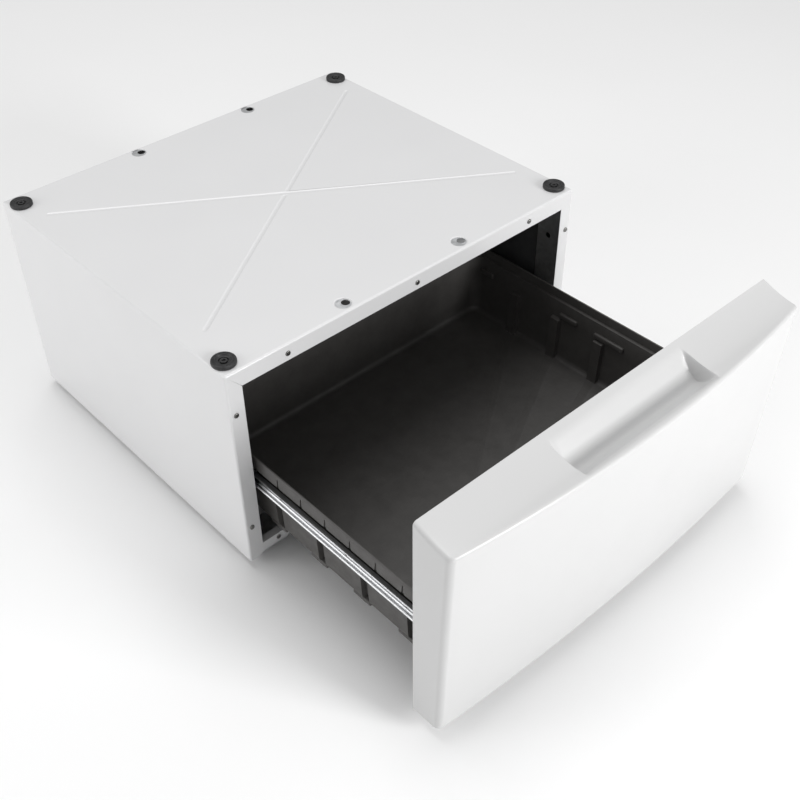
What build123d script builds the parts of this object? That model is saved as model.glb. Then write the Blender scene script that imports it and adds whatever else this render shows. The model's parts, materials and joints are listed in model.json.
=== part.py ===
from build123d import *
import math
import os

# Laundry pedestal: a sheet-steel base for a 27 inch washer or dryer, with one storage drawer on ball-bearing
# slides and four levelling feet.  Millimetres, +Z up, front towards -Y.  X = 0 is the middle of the cabinet,
# Y = 0 the front plane of the cabinet and Z = 0 the floor.  The drawer is modelled pulled open.

# ---- cabinet ----
CABINET_WIDTH = 685.8          # 27 inches
CABINET_DEPTH = 598.5
DECK_HEIGHT = 375.0            # top sheet above the floor; 15 inches with the pads
CABINET_BOTTOM = 15.0          # lower edge of the sheets above the floor
SHEET = 1.2
BEND_RADIUS = 3.5
HALF_OPENING = 318.0           # half the width of the drawer opening
OPENING_TOP = 347.4
OPENING_CORNER = 12.0          # rounded lower end of each front side flange
SIDE_INNER = CABINET_WIDTH / 2 - SHEET
DECK_UNDER = DECK_HEIGHT - SHEET
BACK_FLANGE = 15.0
BACK_SHEET = 0.8
POST_TOP = DECK_UNDER - 0.2
FRONT_POST_END = 46.0
REAR_POST = (540.0, 592.0)
BRACE_LOW = 350.0              # lower edge of the deck braces
BRACE_HALF = 319.2
BOTTOM_RAIL_HALF = 318.8
FRONT_RAIL_TOP = 36.0
REAR_RAIL_TOP = 44.0

# ---- screws of the cabinet ----
PILOT = 1.85                   # hole radius of a threaded sheet hole
CLEAR = 2.1                    # hole radius of a clear sheet hole
DECK_SCREW_X = (-240, 0, 240)
DECK_SCREW_Z = 359.5
FLANGE_SCREW_X = 333.0
FLANGE_SCREW_Z = (83.6, 303.6)
RAIL_SCREW_X = 288.0
RAIL_SCREW_Z = 28.0
BACK_SCREW_X = 335.0
BACK_SCREW_Z = (60, 190, 320)
BACK_TOP_SCREW_X = (-180, 0, 180)
BACK_TOP_SCREW_Z = 367.0

# ---- stamped cross in the deck ----
BEAD_DEPTH = 1.0
BEAD_HALF_WIDTH = 4.2
BEAD_RADIUS = (BEAD_HALF_WIDTH**2 + BEAD_DEPTH**2) / (2 * BEAD_DEPTH)
BEAD_BACK_LEFT = (-307, 513)
BEAD_FRONT_RIGHT = (313, 102)
BEAD_FRONT_LEFT = (-302, 101)
BEAD_BACK_RIGHT = (306, 516)
BEAD_GAP = 9.0                 # the second arm stops this far from the first one's centre line

# ---- holes that bolt a machine down ----
BOLT_SPACING = 228.6           # 9 inches
FRONT_BOLT_X = -11.0           # middle of the front pair of deck holes
FRONT_BOLT_Y = 19.0
REAR_BOLT_X = 17.0
REAR_BOLT_Y = 583.7
DECK_HOLE_RADIUS = 12.0
BRACE_HOLE_RADIUS = 6.5
BRACE_HOLE_SHIFT = 4.5         # brace hole sits this far to +X of the deck hole

# ---- deck pads and feet ----
PAD_X = 325.0
PAD_FRONT_Y = 25.6
PAD_REAR_Y = 567.7
PAD_RADIUS = 17.6
PAD_HEIGHT = 6.0
PAD_NECK = 4.0                 # radius of the part in the deck's hole
PAD_BULB = 5.2                 # radius of the barb under the deck
FOOT_X = 304.0
FOOT_FRONT_Y = 38.0
FOOT_REAR_Y = 560.0
FOOT_RADIUS = 19.0
STEM_RADIUS = 5.0
NUT_FLATS = 17.0               # lock and weld nuts, M10
STEM_FLATS = 13.0
THREAD_PITCH = 1.5
THREAD_DEPTH = 0.6
THREAD_RINGS = 15
FLANGE_RADIUS = 8.0            # stem flange that sits in the foot
FIT_GAP = 0.05                 # radial clearance of a turning or sliding shaft
BRACKET = 3.0                  # corner bracket thickness
BRACKET_BOTTOM = CABINET_BOTTOM + SHEET
BRACKET_TOP = BRACKET_BOTTOM + BRACKET

# ---- drawer slides ----
SLIDE_Z = 165.7                # centre line of both slides
SLIDE_LENGTH = 550.0
CABINET_RAIL_FRONT = 5.0
DRAWER_RAIL_FRONT = -350.0
BALL_RADIUS = 2.5
BALL_X = 312.5
BALL_RISE = 12.3               # ball rows above and below the centre line
RACE_RADIUS = BALL_RADIUS + 0.1
RACE_OUTER = RACE_RADIUS + SHEET
RAIL_WEB = 307.7               # inboard face of the drawer rail's web
POST_FACE = 319.4              # inboard face of the posts
RETAINER_LENGTH = 140.0
RETAINER_FRONT = 32.5
BALLS_PER_ROW = 8
SCREW_STATIONS = (-310, -190, -50, 140)
RAIL_SCREW_Y = (24, 548)       # screws of the cabinet rail into the posts
LEVER_PIVOT_Y = 40.0
PIN_RADIUS = 1.5

# ---- drawer bin ----
BIN_FRONT = -354.2
BIN_BACK = 175.0
BIN_FLOOR = 76.0
BIN_RIM = 205.7
BIN_RIM_HALF = 310.0
BIN_TOP_HALF = 304.5
BIN_BOTTOM_HALF = 299.0
BIN_WALL = 3.0
BIN_LEDGE = 189.5              # step in the walls; above it they stand further out
SKIRT_BOTTOM = 182.3
SKIRT = 3.0
GROOVE_PITCH = 92.9
GROOVE_FIRST = -307.3
GROOVE_COUNT = 5
GROOVE_WIDTH = 12.0
NOTCH_PITCH = 51.2
NOTCH_FIRST = -301.3
NOTCH_COUNT = 9
NOTCH_DEPTH = 1.6
RAIL_SCREW_LENGTH = 7.5

# ---- drawer front ----
FRONT_BACK = -355.4            # back plane of the moulded front
FRONT_BOTTOM = 23.0
FRONT_TOP = 383.3              # back upper edge
LIP_TOP = 367.6
FRONT_WALL = 3.0
LOW_END_Y = -403.2             # front face at its ends, lower edge
LOW_MIDDLE_Y = -418.0
HIGH_END_Y = -416.6            # the same at the height of the back upper edge
HIGH_MIDDLE_Y = -442.5
POCKET_HALF = 131.0
PANEL_SHEET = 1.2
BUMPER = 2.0
FRONT_SCREW_X = (-240, 0, 240)
FRONT_SCREW_Z = (108, 182)
FRONT_SCREW_HOLE = 1.9

os.makedirs("parts", exist_ok=True)


# ---------------------------------------------------------------- helpers
def block(x0, x1, y0, y1, z0, z1):
    """Box between two corners."""
    middle = Pos((x0 + x1) / 2, (y0 + y1) / 2, (z0 + z1) / 2)
    return middle * Box(x1 - x0, y1 - y0, z1 - z0)


def left_block(s0, s1, y0, y1, z0, z1):
    """Box on the left side, with distances s measured outwards from the middle."""
    return block(-s1, -s0, y0, y1, z0, z1)


def rod(centre, direction, radius, length):
    """Cylinder that starts at centre and runs along direction."""
    plane = Plane(origin=centre, z_dir=direction)
    return plane * Pos(0, 0, length / 2) * Cylinder(radius, length)


def mirrored(part):
    """The same part on the other side."""
    return mirror(part, about=Plane.YZ)


def joined(parts):
    """One solid from parts that touch."""
    total = parts[0]
    for part in parts[1:]:
        total = total + part
    return total


def group(parts):
    """Separate solids kept in one file."""
    return Compound(children=[solid for part in parts for solid in part.solids()])


def pan_screw(seat, direction, head_radius, head_height, shank_radius, shank_length):
    """Domed cross-recess screw: seat is under the head and direction points out of the head."""
    plane = Plane(origin=seat, z_dir=direction)
    head = Pos(0, 0, head_height / 2) * Cylinder(head_radius, head_height)
    head = fillet(head.edges().group_by(Axis.Z)[-1], head_height * 0.6)
    recess = Pos(0, 0, head_height) * Box(head_radius * 1.1, 0.9, head_height)
    head = head - recess - Rot(0, 0, 90) * recess
    shank = Pos(0, 0, -shank_length / 2) * Cylinder(shank_radius, shank_length)
    return plane * (head + shank)


def hex_nut(x, y, z0, z1, flats, hole_radius):
    """Hexagon nut with chamfered corners."""
    height = z1 - z0
    prism = extrude(RegularPolygon(flats / math.sqrt(3), 6), height)
    barrel = Pos(0, 0, height / 2) * Cylinder(flats / math.sqrt(3) - 0.2, height)
    barrel = chamfer(barrel.edges(), 0.9, 0.5)
    hole = Pos(0, 0, height / 2) * Cylinder(hole_radius, height + 2)
    return Pos(x, y, z0) * (prism & barrel) - Pos(x, y, z0) * hole


# ---------------------------------------------------------------- cabinet
def bead_arm(start, end, radius):
    """Round-ended bar along the deck whose lower surface presses the bead."""
    height = DECK_HEIGHT + BEAD_RADIUS - BEAD_DEPTH
    first = Vector(start[0], start[1], height)
    last = Vector(end[0], end[1], height)
    bar = rod(first, last - first, radius, (last - first).length)
    return bar + Pos(first) * Sphere(radius) + Pos(last) * Sphere(radius)


def crossing():
    """Where the two lines of the cross meet."""
    ax, ay = BEAD_BACK_LEFT
    bx, by = BEAD_FRONT_RIGHT
    cx, cy = BEAD_FRONT_LEFT
    dx, dy = BEAD_BACK_RIGHT
    bottom = (bx - ax) * (dy - cy) - (by - ay) * (dx - cx)
    share = ((cx - ax) * (dy - cy) - (cy - ay) * (dx - cx)) / bottom
    return Vector(ax + share * (bx - ax), ay + share * (by - ay))


def deck_cross(radius):
    """The cross: one whole arm and one that stops short of it on both sides."""
    middle = crossing()
    along = (Vector(*BEAD_BACK_RIGHT) - Vector(*BEAD_FRONT_LEFT)).normalized()
    near = middle - along * BEAD_GAP
    far = middle + along * BEAD_GAP
    whole = bead_arm(BEAD_BACK_LEFT, BEAD_FRONT_RIGHT, radius)
    front = bead_arm(BEAD_FRONT_LEFT, (near.X, near.Y), radius)
    back = bead_arm((far.X, far.Y), BEAD_BACK_RIGHT, radius)
    return whole, front, back


def deck_hole_places():
    """Centres of the four deck holes."""
    half = BOLT_SPACING / 2
    front = [(FRONT_BOLT_X - half, FRONT_BOLT_Y), (FRONT_BOLT_X + half, FRONT_BOLT_Y)]
    rear = [(REAR_BOLT_X - half, REAR_BOLT_Y), (REAR_BOLT_X + half, REAR_BOLT_Y)]
    return front, rear


def pad_places():
    """Centres of the four deck pads, by corner name."""
    return {
        "front_left": (-PAD_X, PAD_FRONT_Y),
        "front_right": (PAD_X, PAD_FRONT_Y),
        "rear_left": (-PAD_X, PAD_REAR_Y),
        "rear_right": (PAD_X, PAD_REAR_Y),
    }


def foot_places():
    """Centres of the four levelling feet, by corner name."""
    return {
        "front_left": (-FOOT_X, FOOT_FRONT_Y),
        "front_right": (FOOT_X, FOOT_FRONT_Y),
        "rear_left": (-FOOT_X, FOOT_REAR_Y),
        "rear_right": (FOOT_X, FOOT_REAR_Y),
    }


def flange_screw_seats():
    """Seats of the screws through the white front flanges."""
    seats = [(x, 0, DECK_SCREW_Z) for x in DECK_SCREW_X]
    seats += [(x, 0, z) for x in (-FLANGE_SCREW_X, FLANGE_SCREW_X) for z in FLANGE_SCREW_Z]
    return seats


def back_screw_seats():
    """Seats of the screws through the rear flange."""
    seats = [(x, CABINET_DEPTH, z) for x in (-BACK_SCREW_X, BACK_SCREW_X) for z in BACK_SCREW_Z]
    seats += [(x, CABINET_DEPTH, BACK_TOP_SCREW_Z) for x in BACK_TOP_SCREW_X]
    return seats


def cabinet_cavity():
    """Space inside the bent sheet, with its rounded bends."""
    inner = block(-SIDE_INNER, SIDE_INNER, SHEET, CABINET_DEPTH - SHEET, BRACKET_BOTTOM, DECK_UNDER)
    edges = inner.edges().filter_by(lambda e: e.center().Z > CABINET_BOTTOM + 2)
    return fillet(edges, BEND_RADIUS - SHEET)


def cabinet_wrap():
    """Deck, both sides and all their flanges, bent from one sheet."""
    half = CABINET_WIDTH / 2
    outer = block(-half, half, 0, CABINET_DEPTH, CABINET_BOTTOM, DECK_HEIGHT)
    edges = outer.edges().filter_by(lambda e: e.center().Z > CABINET_BOTTOM + 1)
    outer = fillet(edges, BEND_RADIUS)
    wrap = outer - cabinet_cavity()
    low = CABINET_BOTTOM - 1
    wrap -= block(-HALF_OPENING, HALF_OPENING, -1, 3, low, OPENING_TOP)
    wrap -= block(-HALF_OPENING, HALF_OPENING, -1, CABINET_DEPTH + 1, low, BRACKET_BOTTOM + 0.1)
    back_half = half - BACK_FLANGE
    wrap -= block(-back_half, back_half, CABINET_DEPTH - 3, CABINET_DEPTH + 1, low, DECK_HEIGHT - BACK_FLANGE)
    wrap -= flange_corner_cutter() + mirrored(flange_corner_cutter())
    wrap -= flange_seam() + mirrored(flange_seam())
    for arm in deck_cross(BEAD_RADIUS + SHEET):
        wrap += arm & block(-half, half, 50, CABINET_DEPTH - 50, DECK_HEIGHT - 6, DECK_UNDER)
    for arm in deck_cross(BEAD_RADIUS):
        wrap -= arm
    front, rear = deck_hole_places()
    for x, y in front + rear:
        wrap -= Pos(x, y, DECK_HEIGHT) * Cylinder(DECK_HOLE_RADIUS, 6)
        wrap -= Pos(x, y, DECK_HEIGHT) * Cone(DECK_HOLE_RADIUS - 1, DECK_HOLE_RADIUS + 1, 2)
    for x, y in pad_places().values():
        wrap -= Pos(x, y, DECK_HEIGHT) * Cylinder(PAD_NECK + 0.1, 6)
    for x, y, z in flange_screw_seats():
        wrap -= rod((x, y - 1, z), (0, 1, 0), CLEAR, 4)
    for x, y, z in back_screw_seats():
        wrap -= rod((x, y + 1, z), (0, -1, 0), CLEAR, 4)
    return wrap


def flange_corner_cutter():
    """Takes the corner off the lower end of the left front flange."""
    corner = left_block(HALF_OPENING - 1, HALF_OPENING + OPENING_CORNER, -1, 9, CABINET_BOTTOM - 1,
                        CABINET_BOTTOM + OPENING_CORNER)
    centre = (-HALF_OPENING - OPENING_CORNER, -2, CABINET_BOTTOM + OPENING_CORNER)
    return corner - rod(centre, (0, 1, 0), OPENING_CORNER, 12)


def flange_seam():
    """Thin slit between the top flange and the left side flange."""
    corner = Vector(-HALF_OPENING, 0, OPENING_TOP)
    outer = Vector(-CABINET_WIDTH / 2 + BEND_RADIUS, 0, DECK_HEIGHT - BEND_RADIUS)
    inner = corner + (corner - outer).normalized() * 3
    run = outer - inner
    slit = Box(run.length, 2 * SHEET + 1, 0.5)
    angle = math.degrees(math.atan2(run.Z, run.X))
    return Pos((inner + outer) / 2) * Rot(0, -angle, 0) * slit


def back_panel():
    """Flat back sheet with two pressed stiffening ribs."""
    outside = CABINET_DEPTH - SHEET
    half = SIDE_INNER - 2.4
    depth = 5.0
    slope = 3.4
    length = 260
    panel = block(-half, half, outside - BACK_SHEET, outside, 20, DECK_UNDER - 2.5)
    for z in (130, 250):
        rib = block(-length, length, outside - depth, outside - BACK_SHEET, z - 12, z + 12)
        rib = chamfer(rib.edges().group_by(Axis.Y)[0], slope)
        hollow = block(-length + 1, length - 1, outside - depth + BACK_SHEET, outside + 1, z - 11, z + 11)
        hollow = chamfer(hollow.edges().group_by(Axis.Y)[0], slope)
        panel = panel + rib - hollow
    for x, y, z in back_screw_seats():
        panel -= rod((x, y + 1, z), (0, -1, 0), PILOT, 5)
    return panel


def front_rail():
    """Channel across the bottom of the opening, behind the side flanges."""
    face = SHEET + 0.2
    half = BOTTOM_RAIL_HALF
    rail = block(-half, half, face, face + SHEET, BRACKET_TOP, FRONT_RAIL_TOP)
    rail += block(-half, half, face, 24, BRACKET_TOP, BRACKET_TOP + SHEET)
    rail += block(-half, half, face, 14, FRONT_RAIL_TOP - SHEET, FRONT_RAIL_TOP)
    for x in (-RAIL_SCREW_X, RAIL_SCREW_X):
        rail -= rod((x, 0, RAIL_SCREW_Z), (0, 1, 0), CLEAR, 6)
        rail -= block(x - 10.5, x + 10.5, face + SHEET, face + SHEET + 3, BRACKET_TOP - 1, BRACKET_TOP + 2)
    return rail


def rear_rail():
    """Angle across the bottom of the back panel."""
    back = CABINET_DEPTH - SHEET - BACK_SHEET
    half = BOTTOM_RAIL_HALF
    rail = block(-half, half, back - SHEET, back, BRACKET_TOP, REAR_RAIL_TOP)
    rail += block(-half, half, back - 24, back, BRACKET_TOP, BRACKET_TOP + SHEET)
    return rail


def corner_bracket_front():
    """Foot plate of the front left corner, with the tab that the front rail is screwed to."""
    tab_y = 2 * SHEET + 0.2
    plate = left_block(268, SIDE_INNER - 0.2, SHEET + 0.2, 64, BRACKET_BOTTOM, BRACKET_TOP)
    plate = fillet(plate.edges().filter_by(Axis.Z), 3)
    tab = left_block(274, 302, tab_y, tab_y + BRACKET, BRACKET_TOP + SHEET, FRONT_RAIL_TOP - 2)
    neck = left_block(278, 298, tab_y, tab_y + BRACKET, BRACKET_BOTTOM, BRACKET_TOP + SHEET + 1)
    bracket = plate + tab + neck
    bracket -= Pos(-FOOT_X, FOOT_FRONT_Y, BRACKET_TOP) * Cylinder(STEM_RADIUS + FIT_GAP, 12)
    bracket -= rod((-RAIL_SCREW_X, 0, RAIL_SCREW_Z), (0, 1, 0), PILOT, 8)
    return bracket


def corner_bracket_rear():
    """Foot plate of the rear left corner."""
    plate = left_block(268, SIDE_INNER - 0.2, 532, CABINET_DEPTH - SHEET - 1, BRACKET_BOTTOM, BRACKET_TOP)
    plate = fillet(plate.edges().filter_by(Axis.Z), 3)
    return plate - Pos(-FOOT_X, FOOT_REAR_Y, BRACKET_TOP) * Cylinder(STEM_RADIUS + FIT_GAP, 12)


def post(y0, y1, screw_y, pad_y):
    """Galvanised channel that carries a deck corner and one end of the left cabinet rail."""
    web = left_block(POST_FACE, POST_FACE + SHEET, y0, y1, BRACKET_TOP, POST_TOP)
    near = left_block(POST_FACE, SIDE_INNER - 0.2, y0, y0 + SHEET, BRACKET_TOP, POST_TOP)
    far = left_block(POST_FACE, SIDE_INNER - 0.2, y1 - SHEET, y1, BRACKET_TOP, POST_TOP)
    channel = web + near + far
    for z in (90, 288):
        channel -= rod((-POST_FACE + 5, (y0 + y1) / 2, z), (-1, 0, 0), 5, 8)
    channel -= rod((-POST_FACE + 5, screw_y, SLIDE_Z), (-1, 0, 0), PILOT, 8)
    channel -= Pos(-PAD_X, pad_y, POST_TOP) * Cylinder(PAD_BULB + 1, 12)
    return channel & cabinet_cavity()


def front_post():
    """Left front post, with the threaded holes of the side flange's screws."""
    channel = post(SHEET + 0.1, FRONT_POST_END, RAIL_SCREW_Y[0], PAD_FRONT_Y)
    for z in FLANGE_SCREW_Z:
        channel -= rod((-FLANGE_SCREW_X, -1, z), (0, 1, 0), PILOT, 6)
    return channel


def deck_brace_front():
    """Channel under the front of the deck, with the machine's two bolt holes."""
    face = SHEET + 0.1
    back = 36.0
    brace = block(-BRACE_HALF, BRACE_HALF, face, back, DECK_UNDER - SHEET, DECK_UNDER)
    brace += block(-BRACE_HALF, BRACE_HALF, face, face + SHEET, BRACE_LOW, DECK_UNDER)
    brace += block(-BRACE_HALF, BRACE_HALF, back - SHEET, back, BRACE_LOW, DECK_UNDER)
    brace = brace & cabinet_cavity()
    front, _ = deck_hole_places()
    for x, y in front:
        brace -= Pos(x + BRACE_HOLE_SHIFT, y, DECK_UNDER) * Cylinder(BRACE_HOLE_RADIUS, 6)
    for x in DECK_SCREW_X:
        brace -= rod((x, 0, DECK_SCREW_Z), (0, 1, 0), PILOT, 6)
    return brace


def deck_brace_rear():
    """Channel under the back of the deck, with the machine's other two bolt holes."""
    near = 566.0
    far = CABINET_DEPTH - SHEET - 2.4
    brace = block(-BRACE_HALF, BRACE_HALF, near, far, DECK_UNDER - SHEET, DECK_UNDER)
    brace += block(-BRACE_HALF, BRACE_HALF, near, near + SHEET, BRACE_LOW, DECK_UNDER)
    _, rear = deck_hole_places()
    for x, y in rear:
        brace -= Pos(x + BRACE_HOLE_SHIFT, y, DECK_UNDER) * Cylinder(BRACE_HOLE_RADIUS, 6)
    return brace


def deck_pad(x, y):
    """Ribbed rubber pad plugged into the deck."""
    pad = Pos(0, 0, PAD_HEIGHT / 2) * Cylinder(PAD_RADIUS, PAD_HEIGHT)
    pad = chamfer(pad.edges().group_by(Axis.Z)[-1], 1.4)
    pad -= Pos(0, 0, PAD_HEIGHT) * (Cylinder(13.6, 1.4) - Cylinder(11.8, 1.4))
    pad -= Pos(0, 0, PAD_HEIGHT) * (Cylinder(8.6, 1.4) - Cylinder(7.2, 1.4))
    pad -= Pos(0, 0, PAD_HEIGHT) * Cylinder(3.6, 3.0)
    neck = Pos(0, 0, -SHEET / 2) * Cylinder(PAD_NECK, SHEET)
    bulb = Pos(0, 0, -SHEET - 2) * Cone(3.4, PAD_BULB, 4)
    return Pos(x, y, DECK_HEIGHT) * (pad + neck + bulb)


# ---------------------------------------------------------------- levelling feet
def foot_pad(x, y):
    """Round rubber foot with a bored seat for the stem."""
    pad = Pos(0, 0, 3.5) * Cylinder(FOOT_RADIUS, 7)
    pad = chamfer(pad.edges().group_by(Axis.Z)[-1], 2.0)
    pad -= Pos(0, 0, 5.5) * Cylinder(FLANGE_RADIUS + FIT_GAP, 5)
    return Pos(x, y, 0) * pad


def foot_stem(x, y):
    """Threaded stem: flange in the pad, hexagon above it and grooved shank."""
    flange = Pos(0, 0, 5.0) * Cylinder(FLANGE_RADIUS, 3.9)
    hexagon = Pos(0, 0, 6.95) * extrude(RegularPolygon(STEM_FLATS / math.sqrt(3), 6), 3.85)
    shank = Pos(0, 0, 32.0) * Cylinder(STEM_RADIUS, 44)
    shank = chamfer(shank.edges().group_by(Axis.Z)[-1], 1.0)
    stem = flange + hexagon + shank
    groove = Cylinder(STEM_RADIUS + 1, 0.6) - Cylinder(STEM_RADIUS - THREAD_DEPTH, 0.6)
    for step in range(THREAD_RINGS):
        stem -= Pos(0, 0, BRACKET_TOP + 10.3 + THREAD_PITCH * step) * groove
    return Pos(x, y, 0) * stem


def lock_nuts():
    """Thin nuts under the corner brackets."""
    low = BRACKET_BOTTOM - 5.0
    hole = STEM_RADIUS + FIT_GAP
    return group([hex_nut(x, y, low, BRACKET_BOTTOM, NUT_FLATS, hole) for x, y in foot_places().values()])


def weld_nuts():
    """Nuts welded on the corner brackets."""
    top = BRACKET_TOP + 8.0
    hole = STEM_RADIUS + FIT_GAP
    return group([hex_nut(x, y, BRACKET_TOP, top, NUT_FLATS, hole) for x, y in foot_places().values()])


# ---------------------------------------------------------------- slides
def race(rise, opens_up):
    """Half of a raceway tube around one ball row, cut short of the row's centre plane."""
    sign = 1 if opens_up else -1
    ring = Circle(RACE_OUTER) - Circle(RACE_RADIUS)
    keep = Pos(0, -sign * (0.8 + RACE_OUTER / 2)) * Rectangle(3 * RACE_OUTER, RACE_OUTER)
    return Pos(-BALL_X, SLIDE_Z + rise) * (ring & keep)


def rail_face(s0, s1, z0, z1):
    """Rectangle of a rail's section on the left side."""
    return Pos(-(s0 + s1) / 2, (z0 + z1) / 2) * Rectangle(s1 - s0, z1 - z0)


def along_y(section, y0, y1):
    """Section drawn in X and Z, run from y0 to y1."""
    plane = Plane(origin=(0, y0, 0), x_dir=(1, 0, 0), z_dir=(0, -1, 0))
    return extrude(plane * section, -(y1 - y0))


def drawer_rail():
    """Left rail that travels with the drawer: open outwards, grooved above and below."""
    reach = BALL_RISE - 0.8
    section = rail_face(RAIL_WEB, RAIL_WEB + SHEET, SLIDE_Z - reach, SLIDE_Z + reach)
    section += race(BALL_RISE, True) + race(-BALL_RISE, False)
    rail = along_y(section, DRAWER_RAIL_FRONT, DRAWER_RAIL_FRONT + SLIDE_LENGTH)
    for y in SCREW_STATIONS:
        rail -= rod((-RAIL_WEB + 2, y, SLIDE_Z), (-1, 0, 0), 1.95, 6)
    rail -= rod((-RAIL_WEB + 2, LEVER_PIVOT_Y, SLIDE_Z), (-1, 0, 0), PIN_RADIUS + FIT_GAP, 6)
    return rail


def cabinet_rail():
    """Left rail fixed to the posts: open inwards, around the two ball rows."""
    top = SLIDE_Z + BALL_RISE + RACE_OUTER
    low = SLIDE_Z - BALL_RISE - RACE_OUTER
    section = rail_face(POST_FACE - SHEET, POST_FACE, low, top)
    section += rail_face(BALL_X, POST_FACE, top - SHEET, top)
    section += rail_face(BALL_X, POST_FACE, low, low + SHEET)
    section += race(BALL_RISE, False) + race(-BALL_RISE, True)
    rail = along_y(section, CABINET_RAIL_FRONT, CABINET_RAIL_FRONT + SLIDE_LENGTH)
    for y in RAIL_SCREW_Y:
        rail -= rod((-POST_FACE + 5, y, SLIDE_Z), (-1, 0, 0), 1.95, 8)
    return rail


def ball_stations():
    """Y of each ball in a row."""
    pitch = (RETAINER_LENGTH - 20) / (BALLS_PER_ROW - 1)
    return [RETAINER_FRONT + 10 + pitch * step for step in range(BALLS_PER_ROW)]


def retainer(rise):
    """Left strip that spaces one row of balls."""
    low = SLIDE_Z + rise - 0.4
    end = RETAINER_FRONT + RETAINER_LENGTH
    strip = left_block(BALL_X - 2.9, BALL_X + 4.1, RETAINER_FRONT, end, low, low + 0.8)
    for y in ball_stations():
        strip -= Pos(-BALL_X, y, SLIDE_Z + rise) * Cylinder(BALL_RADIUS + FIT_GAP, 3)
    return strip


def slide_balls():
    """All balls of the left slide."""
    return [Pos(-BALL_X, y, SLIDE_Z + rise) * Sphere(BALL_RADIUS) for rise in (BALL_RISE, -BALL_RISE)
            for y in ball_stations()]


def release_lever():
    """Left plastic lever that unhooks the drawer rail."""
    lever = left_block(309.4, 312.6, 36, 84, SLIDE_Z - 1.9, SLIDE_Z + 1.9)
    lever = fillet(lever.edges().filter_by(Axis.X), 1.2)
    hub = rod((-309.4, LEVER_PIVOT_Y, SLIDE_Z), (-1, 0, 0), 3.4, 3.2)
    thumb = left_block(312.6, 314.6, 66, 84, SLIDE_Z - 1.9, SLIDE_Z + 1.9)
    thumb = fillet(thumb.edges().filter_by(Axis.X), 1.0)
    return lever + hub + thumb - rod((-305, LEVER_PIVOT_Y, SLIDE_Z), (-1, 0, 0), PIN_RADIUS + FIT_GAP, 12)


def lever_pin():
    """Left rivet that the lever turns on."""
    shank = rod((-RAIL_WEB, LEVER_PIVOT_Y, SLIDE_Z), (-1, 0, 0), PIN_RADIUS, 5.2)
    head = rod((-RAIL_WEB - 5.1, LEVER_PIVOT_Y, SLIDE_Z), (-1, 0, 0), 2.8, 0.9)
    return shank + head


def drawer_rail_screws():
    """Screws through the left drawer rail into the bin."""
    seats = [(-RAIL_WEB - SHEET, y, SLIDE_Z) for y in SCREW_STATIONS]
    return [pan_screw(seat, (-1, 0, 0), 3.5, 2.0, 1.8, RAIL_SCREW_LENGTH) for seat in seats]


def cabinet_rail_screws():
    """Screws through the left cabinet rail into the posts."""
    seats = [(-POST_FACE + SHEET, y, SLIDE_Z) for y in RAIL_SCREW_Y]
    return [pan_screw(seat, (1, 0, 0), 3.6, 1.7, 1.8, 8) for seat in seats]


def rear_stop():
    """Left plastic block that stops the drawer rail when the drawer is shut."""
    stop = left_block(309.5, POST_FACE - SHEET, 552.6, 562, SLIDE_Z - 4, SLIDE_Z + 4)
    return fillet(stop.edges().filter_by(Axis.X), 1.5)


# ---------------------------------------------------------------- drawer bin
def bin_shell(bottom_half, top_half, inset, floor, top, corner, edge):
    """Tapered tub between two rounded rectangles, rounded along its bottom edge."""
    front = BIN_FRONT + 5.2 + inset
    back = BIN_BACK - 5.0 - inset
    middle = (front + back) / 2
    length = back - front
    slope = 5.0
    low = Pos(0, middle, floor) * RectangleRounded(2 * bottom_half, length - 2 * slope, corner)
    high = Pos(0, middle, top) * RectangleRounded(2 * top_half, length, corner)
    tub = loft([low, high], ruled=True)
    return fillet(tub.edges().group_by(Axis.Z)[0], edge)


def groove_places():
    """Y of each upright groove in the bin's sides."""
    return [GROOVE_FIRST + GROOVE_PITCH * step for step in range(GROOVE_COUNT)]


def notch_places():
    """Y of each notch in the rim's side skirts."""
    return [NOTCH_FIRST + NOTCH_PITCH * step for step in range(NOTCH_COUNT)]


def bin_pilaster(y, depth, half_width, top):
    """Upright bar at the left wall, leaning with it."""
    low_s = BIN_BOTTOM_HALF - depth
    high_s = BIN_TOP_HALF - depth
    low = Pos(-(low_s + 20), y, BIN_FLOOR) * Rectangle(40, 2 * half_width)
    share = (top - BIN_FLOOR) / (BIN_LEDGE - BIN_FLOOR)
    s = low_s + (high_s - low_s) * share
    high = Pos(-(s + 20), y, top) * Rectangle(40, 2 * half_width)
    return loft([low, high], ruled=True)


def skirt_notch(y):
    """Wedge that cuts one blind notch in the left skirt, wider at the bottom."""
    low = SKIRT_BOTTOM - 1
    high = BIN_RIM - 6
    wedge = Polygon((y - 2.6, low), (y + 2.6, low), (y + 0.6, high), (y - 0.6, high), align=None)
    return Pos(-BIN_RIM_HALF - 2, 0, 0) * extrude(Plane.YZ * wedge, 2 + NOTCH_DEPTH)


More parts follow.
